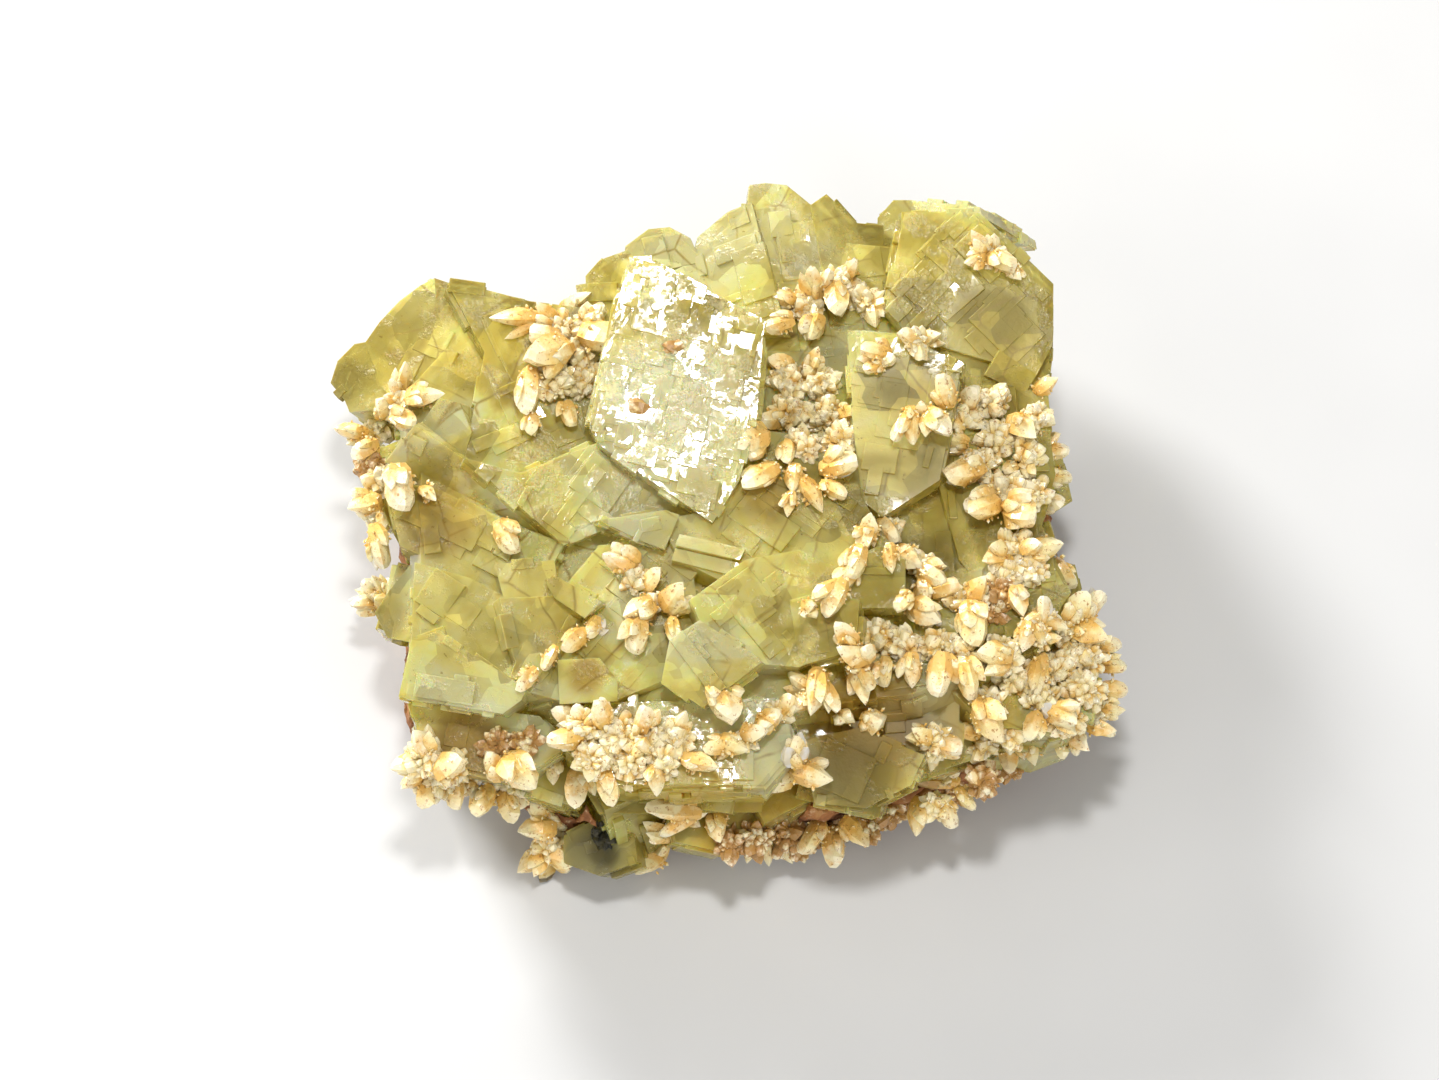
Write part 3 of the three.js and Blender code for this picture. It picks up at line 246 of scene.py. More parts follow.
        "crystals": [[-10, -2.1, 4, 2.8, 160, 32], [-6.8, -3.9, 3, 2.2, 50, 35],
                     [-4.6, -5.6, 3.8, 3.2, 55, 36], [-8.1, -6.9, 3.6, 3, 205, 32],
                     [-8.2, -9.5, 3.8, 2.8, -100, 25]],
    },
    "calcite_middle_oval": {
        "knots": [],
        "crystals": [[-4.5, -9, 2.8, 1.8, -80, 30]],
    },
    "calcite_chain_1": {
        "knots": [],
        "crystals": [[-12.7, -8.7, 2.4, 1.8, -120, 30]],
    },
    "calcite_chain_2": {
        "knots": [],
        "crystals": [[-14.5, -10, 3.2, 2.2, 220, 28]],
    },
    "calcite_chain_3": {
        "knots": [],
        "crystals": [[-17, -11.8, 2.8, 1.9, -115, 28]],
    },
    "calcite_chain_4": {
        "knots": [],
        "crystals": [[-19.3, -13.9, 3, 1.9, -130, 28]],
    },
    "calcite_brown_oval": {
        "knots": [],
        "crystals": [[0.4, -16.2, 4.8, 3.8, -60, 40]],
    },
    "calcite_lower_band": {
        "knots": [[-13.6, -19, 1.9], [-12.4, -22, 1.9], [-10, -19.8, 2], [-7.2, -20.6, 2.1],
                  [-4.4, -20.2, 2], [-9, -22.4, 1.8], [-5.6, -22.4, 1.7]],
        "crystals": [[-15, -17.6, 3.8, 2.6, 160, 25], [-15.4, -19.9, 3.6, 2.6, 190, 20],
                     [-2, -22.2, 3.8, 2.6, -15, 25], [-14.2, -24.6, 4.2, 2.8, -97, 15],
                     [-11, -24.4, 4.2, 2.8, -80, 15], [-11.8, -17.4, 3.2, 2.4, 110, 30],
                     [-7.6, -18, 3.2, 2.4, 80, 35], [-4, -18.2, 3, 2.2, 60, 35],
                     [-6.4, -24, 3.2, 2.4, -85, 25]],
    },
    "calcite_band_arm": {
        "knots": [[2.6, -20, 1.1], [5.8, -17.4, 1.1]],
        "crystals": [[-0.2, -20.6, 3, 2.2, 190, 25], [1.4, -20.4, 3.2, 2.4, -20, 30],
                     [3.4, -19.2, 3, 2.4, 10, 42], [4.9, -18, 3, 2.4, 30, 32],
                     [6.5, -16.7, 3, 2.2, 60, 30]],
    },
    "calcite_lower_left": {
        "knots": [[-29.4, -22, 1.8], [-27, -22.6, 1.9], [-28.6, -24, 1.6], [-24.8, -23.8, 1.6]],
        "crystals": [[-31, -22.5, 3.8, 2.8, 190, 25], [-29, -25, 3.8, 2.8, -110, 20],
                     [-27, -22.6, 4, 3.2, 30, 45], [-26.4, -25.2, 3.4, 2.6, -80, 18],
                     [-29.7, -20.4, 3.4, 2.6, 118, 28], [-30.6, -24, 2.8, 2, 215, 15]],
    },
    "calcite_lower_left_druse": {
        "knots": [[-22.2, -24.6, 1.8], [-20.4, -25, 1.7]],
        "crystals": [[-19.8, -23.2, 5, 3.6, -45, 38], [-23.6, -26, 3.4, 2.6, -112, 18],
                     [-21, -26.6, 3.4, 2.6, -75, 18], [-22.6, -22.6, 3.2, 2.4, 110, 30]],
    },
    "calcite_lower_left_tip": {
        "knots": [],
        "crystals": [[-16.7, -22.9, 3.2, 1.9, -85, 25]],
    },
    "calcite_bottom_chain": {
        "knots": [[-17.4, -27.8, 1.5], [-17, -30.4, 1.6]],
        "crystals": [[-17.6, -26.4, 3.4, 2.8, 130, 32], [-18.2, -28.9, 3.8, 2.9, 186, 20],
                     [-18.6, -32, 3.8, 2.6, 218, 12], [-15.9, -31.4, 3.8, 2.8, -20, 32],
                     [-17.3, -33, 3, 2.2, -105, 8]],
    },
    "calcite_bottom_oval": {
        "knots": [[-6.8, -30.4, 1.3]],
        "crystals": [[-6.2, -29, 3.6, 2.6, 148, 28], [-7, -31.7, 4.6, 3.8, -130, 32]],
    },
    "calcite_bottom_lens": {
        "knots": [],
        "crystals": [[-4.6, -27, 5.4, 2.4, 176, 15], [-2.4, -27.4, 2.6, 2, 10, 20]],
    },
    "calcite_bottom_tip": {
        "knots": [],
        "crystals": [[-0.2, -28.5, 3.4, 2.6, -80, 22]],
    },
    "calcite_bottom_white": {
        "knots": [[7.6, -22.9, 1]],
        "crystals": [[7.7, -21.2, 3.8, 2.4, 96, 36], [6.1, -24, 3.4, 3, -130, 32],
                     [9.3, -23.4, 4.2, 3, -15, 25]],
    },
    "calcite_fringe_middle": {
        "knots": [[10.4, -29, 1.5], [12.6, -28.8, 1.5]],
        "crystals": [[9.2, -29.6, 3.8, 2.8, -118, 15], [11.5, -30.6, 4, 2.8, -86, 12],
                     [13.6, -29.2, 3.8, 2.8, -48, 20]],
    },
    "calcite_fringe_left": {
        "knots": [],
        "crystals": [[3.2, -31, 2.6, 2, -110, 10], [4.9, -31, 3, 2.2, -88, 10],
                     [6.6, -31, 2.8, 2.2, -62, 12]],
    },
    "calcite_fringe_right": {
        "knots": [[21.6, -26.6, 1.3]],
        "crystals": [[19.8, -27.6, 3.8, 2.6, -95, 12], [22.8, -27.2, 3.2, 2.2, -65, 12],
                     [24.6, -25.8, 2.8, 2, -50, 12]],
    },
}

# Sprays on the back and sides: at in millimetres, turn round +Z, then the size and number of crystals.
SPRAYS = {
    "calcite_back_left": {"at": [-17, 24.5, 8.5], "turn": 115, "long": 4, "points": 9},
    "calcite_back_middle": {"at": [8, 32, 7.5], "turn": 85, "long": 4.2, "points": 9},
    "calcite_back_right": {"at": [27, 26, 8], "turn": 50, "long": 3.8, "points": 8},
    "calcite_side_left": {"at": [-33.5, -3, 7], "turn": 185, "long": 3.6, "points": 8},
}


def seen_at(x, y, out=0.0):
    """The point that is seen at (x, y) mm, out metres in front of the slanted plane."""
    nearer = (EYE_DISTANCE - out) / EYE_DISTANCE
    return SHOW_MIDDLE + RIGHT * (x * MM * nearer) + UP * (y * MM * nearer) + OUT * out


def general_out(x, y):
    """How far out the general surface lies, in metres."""
    across = (x - CROWN_MIDDLE[0]) / CROWN_REACH[0]
    along = (y - CROWN_MIDDLE[1]) / CROWN_REACH[1]
    height = CROWN_HEIGHT - CROWN_DROP * (across * across + along * along)
    crown = (height - SHOW_MIDDLE.z / MM - UP.z * y) / OUT.z
    return min(crown, WALL_TOP_OUT + WALL_FALL * (y - WALL_TOP_Y)) * MM


def node_bmesh(node):
    """A CAD node's solid with its vertices merged."""
    shape = bmesh.new()
    shape.from_mesh(NODES[node].data)
    bmesh.ops.remove_doubles(shape, verts=shape.verts, dist=WELD)
    bmesh.ops.recalc_face_normals(shape, faces=shape.faces)
    return shape


def tree_of(shapes):
    """A search tree over several bmeshes."""
    vertices, faces = [], []
    for shape in shapes:
        shape.verts.index_update()
        start = len(vertices)
        vertices += [vert.co.copy() for vert in shape.verts]
        faces += [[start + vert.index for vert in face.verts] for face in shape.faces]
    return BVHTree.FromPolygons(vertices, faces)


fluorite_solid = node_bmesh("fluorite_cluster")
rock_solid = node_bmesh("matrix_rock")
GROUND = tree_of([fluorite_solid, rock_solid])
FLUORITE_TREE = tree_of([fluorite_solid])


def surface_at(x, y):
    """The point and normal of the fluorite or rock seen at (x, y) mm, and whether there is any."""
    point, normal, _, _ = GROUND.ray_cast(EYE, (seen_at(x, y) - EYE).normalized())
    if point is None:
        return seen_at(x, y, general_out(x, y) - MISSED_DEPTH * MM), OUT.copy(), False
    return point, normal, True


# Mesh pieces

def add_piece(name, mesh, material, nodes):
    """A finished piece that rides on the specimen and stands for its CAD nodes."""
    mesh.materials.clear()
    mesh.materials.append(material)
    piece = bpy.data.objects.new(name, mesh)
    bpy.context.scene.collection.objects.link(piece)
    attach(piece, "root")
    if nodes:
        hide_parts(*nodes)
    return piece


def with_modifiers(mesh, *recipes):
    """A mesh after modifiers, each given as (kind, settings)."""
    holder = bpy.data.objects.new("shaping", mesh)
    bpy.context.scene.collection.objects.link(holder)
    for kind, settings in recipes:
        modifier = holder.modifiers.new(kind.lower(), kind)
        for key, value in settings.items():
            setattr(modifier, key, value)
    bpy.context.view_layer.update()
    shaped = bpy.data.meshes.new_from_object(holder.evaluated_get(bpy.context.evaluated_depsgraph_get()))
    bpy.data.objects.remove(holder)
    return shaped


# Growth blocks of the fluorite

BLOCK_FULL = 1.0
BLOCK_CUT = 0.5


def chamfered_cube():
    """Corners and faces of a cube with its edges cut: full size along one axis, cut along the others."""
    shape = bmesh.new()
    bmesh.ops.create_cube(shape, size=2 * BLOCK_FULL)
    bmesh.ops.bevel(shape, geom=shape.edges[:], offset=BLOCK_CUT, segments=1, affect="EDGES", profile=0.5)
    shape.verts.index_update()
    corners = np.array([vert.co[:] for vert in shape.verts])
    faces = [[vert.index for vert in face.verts] for face in shape.faces]
    shape.free()
    return corners, faces


BLOCK_CORNERS, BLOCK_FACES = chamfered_cube()
SMALLEST_STEP_FACE = 2.5 * MM * MM  # faces under this stay plain
PLANE_GRAIN = 0.06 * MM  # triangles whose planes are closer than this are one face
BLOCK_ROOT = 0.8 * MM  # how deep a growth block goes into the face under it
OVERHANG = 0.25 * MM
NORMAL_STEPS = 40  # how finely directions are told apart when triangles are gathered into faces
PLATE_SHAPE = (0.6, 1.5)  # a plate's sides are up to this much shorter or longer than its style says
WIDEST_CHAMFER = 0.06 * MM
GROWTH_SEED = 4


def block_object(middle, axes, half, chamfer):
    """A chamfered block, for joining to the fluorite. axes are three unit vectors, half its half sizes."""
    at_full_size = np.abs(BLOCK_CORNERS) > (BLOCK_FULL + BLOCK_CUT) / 2
    reach = np.where(at_full_size, np.array(half), np.array(half) - chamfer)
    corners = np.array(middle) + (np.sign(BLOCK_CORNERS) * reach) @ np.array([tuple(axis) for axis in axes])
    mesh = bpy.data.meshes.new("block")
    mesh.from_pydata(corners.tolist(), [], BLOCK_FACES)
    return bpy.data.objects.new("block", mesh)


def plane_groups(shape):
    """The large flat faces of a triangulated solid, as lists of triangles."""
    groups = {}
    for face in shape.faces:
        offset = round(face.normal.dot(face.calc_center_median()) / PLANE_GRAIN)
        key = (*(round(part * NORMAL_STEPS) for part in face.normal), offset)
        groups.setdefault(key, []).append(face)
    return [group for group in groups.values()
            if sum(face.calc_area() for face in group) > SMALLEST_STEP_FACE]


def outline_of(group):
    """The edges round a group of triangles."""
    inside = set(group)
    return [edge for face in group for edge in face.edges
            if sum(link in inside for link in edge.link_faces) == 1]


def turned(axes, dice, most):
    """Axes turned by a small random angle."""
    spin = Vector([dice.gauss(0, 1) for _ in range(3)]).normalized()
    turn = Quaternion(spin, math.radians(dice.uniform(-most, most)))
    return [turn @ axis for axis in axes]


def random_point(group, weights, dice):
    """A random place on a group of triangles."""
    face = dice.choices(group, weights)[0]
    a, b, c = (vert.co for vert in face.verts)
    s, t = sorted((dice.random(), dice.random()))
    return a * s + b * (t - s) + c * (1 - t)


def lies_on_ground(point, axes, half):
    """Whether all four corners of a plate lie on the crystal under it."""
    corners = [point + axes[0] * half[0] * i + axes[1] * half[1] * j for i in (-1, 1) for j in (-1, 1)]
    return all(GROUND.find_nearest(corner)[3] < OVERHANG for corner in corners)


def growth_blocks(shape, dice):
    """Square plates on the flat faces, as separate block objects."""
    blocks = []
    for group in plane_groups(shape):
        normal = group[0].normal.copy()
        edges = outline_of(group)
        longest = max(edges, key=lambda item: item.calc_length())
        first = (longest.verts[1].co - longest.verts[0].co).normalized()
        axes = [first, normal.cross(first).normalized(), normal]
        weights = [face.calc_area() for face in group]
        moments = (face.calc_center_median() * face.calc_area() for face in group)
        middle = sum(moments, Vector()) / sum(weights)
        style = growth_style(middle, normal)
        for _ in range(round(sum(weights) / (MM * MM) * style["plates"])):
            point = random_point(group, weights, dice)
            half = [dice.uniform(*style["size"]) * MM / 2 * dice.uniform(*PLATE_SHAPE) for _ in range(2)]
            rise = dice.uniform(*style["rise"]) * MM
            own = turned(axes, dice, dice.choice((style["jitter"], style["jitter"], style["wedge"])))
            if not lies_on_ground(point, axes, half):
                continue
            blocks.append(block_object(point + normal * (rise - BLOCK_ROOT) / 2, own,
                                       [*half, (rise + BLOCK_ROOT) / 2], min(WIDEST_CHAMFER, rise / 2)))
    return blocks


MOSAIC_MIDDLE = surface_at(-4, 15)[0]  # the bright face in the middle of the photograph
MOSAIC_REACH = 7 * MM
SQUARE_ON = 0.9  # cosines of a face's angle to the line of sight
NEARLY_SQUARE_ON = 0.8


def growth_style(middle, normal):
    """How a flat face is stepped: plates per square millimetre, sizes and rises in mm, tilt in degrees."""
    if (middle - MOSAIC_MIDDLE).length < MOSAIC_REACH and normal.dot(OUT) > SQUARE_ON:
        return {"plates": 1.6, "size": (0.7, 3.2), "rise": (0.04, 0.32), "jitter": 4.5, "wedge": 6}
    if normal.dot(OUT) > NEARLY_SQUARE_ON:
        return {"plates": 0.22, "size": (1.0, 6.0), "rise": (0.04, 0.36), "jitter": 1.2, "wedge": 8}
    return {"plates": 0.3, "size": (0.6, 4.5), "rise": (0.05, 0.6), "jitter": 1.5, "wedge": 9}


# Dog-tooth crystals

SHARP = ((0, 0.55), (0.14, 0.86), (0.4, 1.0), (0.66, 0.74), (0.88, 0.32), (1.0, 0))
STUBBY = ((0, 0.6), (0.18, 0.92), (0.5, 1.0), (0.76, 0.82), (0.92, 0.48), (1.0, 0))
SMALL = ((0, 0.7), (0.45, 1.0), (0.78, 0.6), (1.0, 0))
GRAIN = ((0, 0.7), (0.5, 1.0), (1.0, 0))
SIDES = 6
DRAWN_IN = 0.84  # every second edge of a crystal lies this much nearer its axis
ZIGZAG = 0.05  # how far every second corner of a ring is pushed along, in lengths
UNEVEN = (0.92, 1.06)
FLATTEST = 0.75  # width the other way over width
MOST_LEAN = 0.12
BESIDE_COUNT = (2, 5)  # crystals beside a main one, the second number not included
BESIDE_SIZE = (0.4, 0.75)
BESIDE_LEAN = (0.15, 0.7)
GRAIN_SIZE = (0.25, 0.6)  # in mm
DRUSE_SIZE = (0.8, 2.1)
DRUSE_SCALES = (0.6, 1.0, 1.0, 1.2)
DRUSE_SHAPE = (0.7, 0.95)  # width over length
DRUSE_LIFT = 0.9  # how much a druse crystal leans to the open side of its lump
LOWEST_CALCITE = 0.4 * MM


class Crystals:
    """Many dog-tooth crystals gathered in one mesh, with two values at each point: along and tone."""

    def __init__(self, seed):
        self.dice = random.Random(seed)
        self.points = []
        self.faces = []
        self.along = []
        self.tone = []

    def tooth(self, root, direction, long, wide, profile):
        """Adds one crystal: rings of six points, every second edge drawn in, closed at root and tip."""
        dice = self.dice
        across = direction.orthogonal().normalized()
        turn = Quaternion(direction, dice.uniform(0, math.pi))
        first = turn @ across
        second = direction.cross(first)
        flat = dice.uniform(FLATTEST, 1.0)
        lean = dice.uniform(-MOST_LEAN, MOST_LEAN)
        tone = dice.random()
        start = len(self.points)
        for place, radius in profile[:-1]:
            for side in range(SIDES):
                angle = math.tau * side / SIDES
                reach = wide / 2 * radius * (1.0 if side % 2 else DRAWN_IN) * dice.uniform(*UNEVEN)
                zigzag = ZIGZAG if side % 2 else -ZIGZAG
                step = long * (place + zigzag * radius + lean * place * math.cos(angle) * 0.4)
                offset = first * (math.cos(angle) * reach) + second * (math.sin(angle) * reach * flat)
                self.points.append(root + direction * step + offset)
                self.along.append(place)
        self.points.append(root + direction * long)
        self.along.append(1.0)
        self.tone += [tone] * (len(self.points) - start)
        rings = len(profile) - 1
        for ring in range(rings - 1):
            for side in range(SIDES):
                a = start + ring * SIDES + side
                b = start + ring * SIDES + (side + 1) % SIDES
                self.faces.append((a, b, b + SIDES, a + SIDES))
        last = start + (rings - 1) * SIDES
        self.faces += [(last + side, last + (side + 1) % SIDES, last + SIDES) for side in range(SIDES)]
        self.faces.append(tuple(start + side for side in reversed(range(SIDES))))

    def group(self, root, direction, long, wide):
        """A main crystal with smaller ones grown beside it, nearly parallel, and grains on its sides."""
        dice = self.dice
        self.tooth(root, direction, long, wide, dice.choice((SHARP, STUBBY)))
        for _ in range(dice.randrange(*BESIDE_COUNT)):
            size = dice.uniform(*BESIDE_SIZE)
            aside = direction.orthogonal().normalized()
            aside = Quaternion(direction, dice.uniform(0, math.tau)) @ aside
            lean = (direction + aside * dice.uniform(*BESIDE_LEAN)).normalized()
            start = root + direction * long * dice.uniform(0, 0.25) + aside * wide * 0.2
            self.tooth(start, lean, long * size, wide * size, dice.choice((SHARP, STUBBY, SMALL)))
        for _ in range(int(5 + long / MM * 2)):
            aside = Quaternion(direction, dice.uniform(0, math.tau)) @ direction.orthogonal().normalized()
            place = dice.uniform(0.05, 0.6)
            point = root + direction * long * place + aside * wide * 0.42
            out = (aside + direction * dice.uniform(-0.3, 0.8)).normalized()
            size = dice.uniform(*GRAIN_SIZE) * MM
            self.tooth(point - out * size * 0.3, out, size, size * 0.8, GRAIN)

    def druse(self, centre, outward, radius, count):
        """Small crystals that point outwards all over a lump."""
        dice = self.dice
        for _ in range(count):
            way = Vector([dice.gauss(0, 1) for _ in range(3)]).normalized()
            way = (way + outward * DRUSE_LIFT).normalized()
            if way.dot(outward) < -0.15:
                continue
            size = dice.uniform(*DRUSE_SIZE) * MM * dice.choice(DRUSE_SCALES)
            point = centre + way * radius * dice.uniform(0.6, 1.05) - outward * radius * 0.4
            self.tooth(point - way * size * 0.5, way, size, size * dice.uniform(*DRUSE_SHAPE),
                       dice.choice((STUBBY, SMALL, SMALL)))

    def mesh(self, name):
        """The crystals as a Blender mesh, none of it lower than the cut."""
        mesh = bpy.data.meshes.new(name)
        mesh.from_pydata([(*point.xy, max(point.z, LOWEST_CALCITE)) for point in self.points], [], self.faces)
        for label, values in (("along", self.along), ("tone", self.tone)):
            mesh.attributes.new(label, "FLOAT", "POINT").data.foreach_set("value", values)
        return mesh


# Materials

def new_material(name):
    """An empty node material, its Principled shader, and a maker and a joiner of nodes."""
    material = bpy.data.materials.new(name)
    material.use_nodes = True
    tree = material.node_tree

    def add(kind, inputs=None, **settings):
        made = tree.nodes.new("ShaderNode" + kind)
        for key, value in settings.items():
            setattr(made, key, value)
        for socket, value in (inputs or {}).items():
            give(made.inputs[socket], value)
        return made

    def give(socket, value):
        if isinstance(value, bpy.types.NodeSocket):
            tree.links.new(value, socket)
        elif socket.type == "RGBA" and len(value) == 3:
            socket.default_value = (*value, 1)
        else:
            socket.default_value = value

    return material, tree.nodes["Principled BSDF"], add, give


def ramp(add, factor, *stops):
    """A colour ramp: stops are (place, colour or grey)."""
    made = add("ValToRGB", {0: factor})
    elements = made.color_ramp.elements
    while len(elements) < len(stops):
        elements.new(0.5)
    for element, (place, colour) in zip(elements, stops):
        element.position = place
        element.color = (*colour, 1) if isinstance(colour, tuple) else (colour, colour, colour, 1)
    return made.outputs[0]


def noise(add, place, scale, detail=4.0, rough=0.55, distortion=0.0):
    """A noise pattern, its scale in waves per metre."""
    return add("TexNoise", {"Vector": place, "Scale": scale, "Detail": detail, "Roughness": rough,
                            "Distortion": distortion}).outputs[0]


def cells(add, place, scale, feature="F1", output=0, **settings):
    """A cell pattern, its scale in cells per metre."""
    return add("TexVoronoi", {"Vector": place, "Scale": scale}, feature=feature, **settings).outputs[output]


def mixed(add, factor, first, second, blend="MIX"):
    """Two colours mixed."""
    return add("Mix", {0: factor, 6: first, 7: second}, data_type="RGBA", blend_type=blend).outputs[2]


def turned_place(add, place, degrees):
    """The place with its axes turned, so that a pattern runs at a slant."""
    rotation = [math.radians(angle) for angle in degrees]
    return add("Mapping", {"Vector": place, "Rotation": rotation}).outputs[0]


OLIVE = (0.66, 0.55, 0.13)
YELLOW = (0.98, 0.87, 0.29)
PALE = (1.0, 0.96, 0.52)
# The next three colours are used only for painted shade in the regions below, mixed with the crystal's own
# honey and olive colour
SHADED_BROWN = (0.44, 0.25, 0.03)
SHADED_AMBER = (0.85, 0.60, 0.10)
SHADED_OLIVE = (0.28, 0.22, 0.05)

# Regions of the fluorite on the crystal side painted lighter and darker: x, y, radius in mm, colour,
# strength. The pale one round the middle face is a painted highlight where that face mirrors the overhead
# lamp. The olive, brown and amber ones are painted shade on faces turned from the light and in the recesses
# along the lower edge, laid over the crystal's own olive and honey colour. The grey-green one at the lower
# left is a glassy crystal's own colour, and the near-black one darkens the surface over the dark lump.
SHADE_AND_LIGHT_TINTS = [
    (-4, 14, 10, (1.0, 0.95, 0.60), 0.8),
    (-36.5, 16.5, 3.4, SHADED_OLIVE, 0.8),
    (-30.5, 16, 4, OLIVE, 0.6),
    (-27, 2.8, 5, SHADED_BROWN, 0.55),
    (-32.5, -6.5, 3.5, SHADED_OLIVE, 0.6),
    (-24.5, -19.5, 5, SHADED_BROWN, 0.75),
    (-12.5, -12.5, 2.2, SHADED_BROWN, 0.6),
    (5.5, 5, 4, SHADED_BROWN, 0.5),
    (22, -1.5, 5, SHADED_OLIVE, 0.75),
    (15.5, -4, 4, OLIVE, 0.8),
    (16, -17.5, 8, SHADED_BROWN, 0.75),
    (14.5, -22.5, 5, SHADED_OLIVE, 0.65),
    (-12, -31, 4, (0.30, 0.28, 0.16), 0.8),
    (-10.7, -30.4, 1.7, (0.10, 0.09, 0.04), 0.6),
    (27, -16, 5, SHADED_AMBER, 0.6),
    (2, -30, 5, SHADED_AMBER, 0.7),
    (-3, -24, 8, SHADED_AMBER, 0.6),
    (8, -25, 7, SHADED_AMBER, 0.6),
]


# Faces dulled by fine etching: x, y, radius in mm
FROSTED = [(18.5, 12, 9), (28, 22, 6), (7, -21, 5), (12, -24, 5), (17, -18, 5), (23, -17, 5), (-1.5, -1.5, 4)]


def nearness(add, place, x, y, radius, strength):
    """strength around the point seen at (x, y), fading to nothing at the radius in mm."""
    away = add("VectorMath", {0: place, 1: tuple(surface_at(x, y)[0])}, operation="DISTANCE").outputs["Value"]
    return add("MapRange", {"Value": away, "From Min": radius * 0.45 * MM, "From Max": radius * 1.1 * MM,
                            "To Min": strength, "To Max": 0.0}, interpolation_type="SMOOTHSTEP").outputs[0]


def fluorite_material():
    """Pale yellow, hazy and see-through, with olive depths, healed cracks, frosted patches, and painted
    highlight and painted shade on listed regions.
    """
    material, shader, add, give = new_material("fluorite")
    place = add("TexCoord").outputs["Object"]
    bent = mixed(add, 0.0018, place, add("TexNoise", {"Vector": place, "Scale": 160.0}).outputs[1], "ADD")
    slanted = turned_place(add, bent, (25, 35, 40))
    base = ramp(add, noise(add, place, 75, 4, 0.6, 0.6), (0.38, OLIVE), (0.5, YELLOW), (0.61, PALE))
    domain = ramp(add, cells(add, slanted, 210, distance="CHEBYCHEV", output=1), (0.0, 0.6), (1.0, 1.12))
    base = mixed(add, 1.0, base, domain, "MULTIPLY")
    crack = ramp(add, cells(add, slanted, 170, "DISTANCE_TO_EDGE"), (0.0, 0.85), (0.03, 0.0))
    crack = mixed(add, 1.0, crack, ramp(add, noise(add, place, 110, 3), (0.46, 0.0), (0.54, 1.0)), "MULTIPLY")
    base = mixed(add, crack, base, (0.46, 0.35, 0.10))
    specks = ramp(add, noise(add, place, 1500, 5, 0.7), (0.64, 0.0), (0.70, 0.8))
    base = mixed(add, specks, base, (0.30, 0.19, 0.04))
    # Painted highlight and painted shade: each region's colour is mixed over the base colour
    for x, y, radius, colour, strength in SHADE_AND_LIGHT_TINTS:
        base = mixed(add, nearness(add, bent, x, y, radius, strength), base, colour)
    give(shader.inputs["Base Color"], base)
    frost = ramp(add, noise(add, place, 300, 6, 0.7), (0.45, 0.04), (0.62, 0.3))
    for x, y, radius in FROSTED:
        frost = mixed(add, nearness(add, bent, x, y, radius, 1.0), frost, (0.5, 0.5, 0.5))
    give(shader.inputs["Roughness"], frost)
    steps = cells(add, turned_place(add, bent, (0, 25, 55)), 560, distance="CHEBYCHEV", output=1)
    wave = noise(add, place, 240, 3)
    grain = ramp(add, frost, (0.15, 0.0), (0.3, 0.5))
    grain = mixed(add, 1.0, noise(add, place, 2400, 4, 0.6), grain, "MULTIPLY")
    height = add("Math", {0: steps, 1: 0.35, 2: wave}, operation="MULTIPLY_ADD").outputs[0]
    height = add("Math", {0: height, 1: grain}, operation="ADD").outputs[0]
    streaks = add("TexWave", {"Vector": turned_place(add, place, (20, 0, 38)), "Scale": 260.0,
                              "Distortion": 4.0, "Detail": 3.0}, wave_profile="SAW").outputs["Fac"]
    streaky = ramp(add, noise(add, place, 70, 3), (0.48, 0.0), (0.6, 0.6))
    streaks = mixed(add, 1.0, streaks, streaky, "MULTIPLY")
    height = add("Math", {0: height, 1: streaks}, operation="ADD").outputs[0]
    give(shader.inputs["Normal"],
         add("Bump", {"Strength": 0.5, "Distance": 0.22 * MM, "Height": height}).outputs[0])
    shader.inputs["IOR"].default_value = 1.434
    shader.inputs["Transmission Weight"].default_value = 0.55
    shader.inputs["Subsurface Weight"].default_value = 1.0
    shader.inputs["Subsurface Radius"].default_value = (1.0, 0.8, 0.4)
    shader.inputs["Subsurface Scale"].default_value = 0.7 * MM
    absorb = add("VolumeAbsorption", {"Color": (0.96, 0.9, 0.35, 1), "Density": 90.0})
    give(material.node_tree.nodes["Material Output"].inputs["Volume"], absorb.outputs[0])
    return material


CREAM = (1.0, 0.84, 0.42)
PEACH = (1.0, 0.74, 0.32)
ORANGE = (0.82, 0.47, 0.09)
RUST = (0.44, 0.20, 0.03)


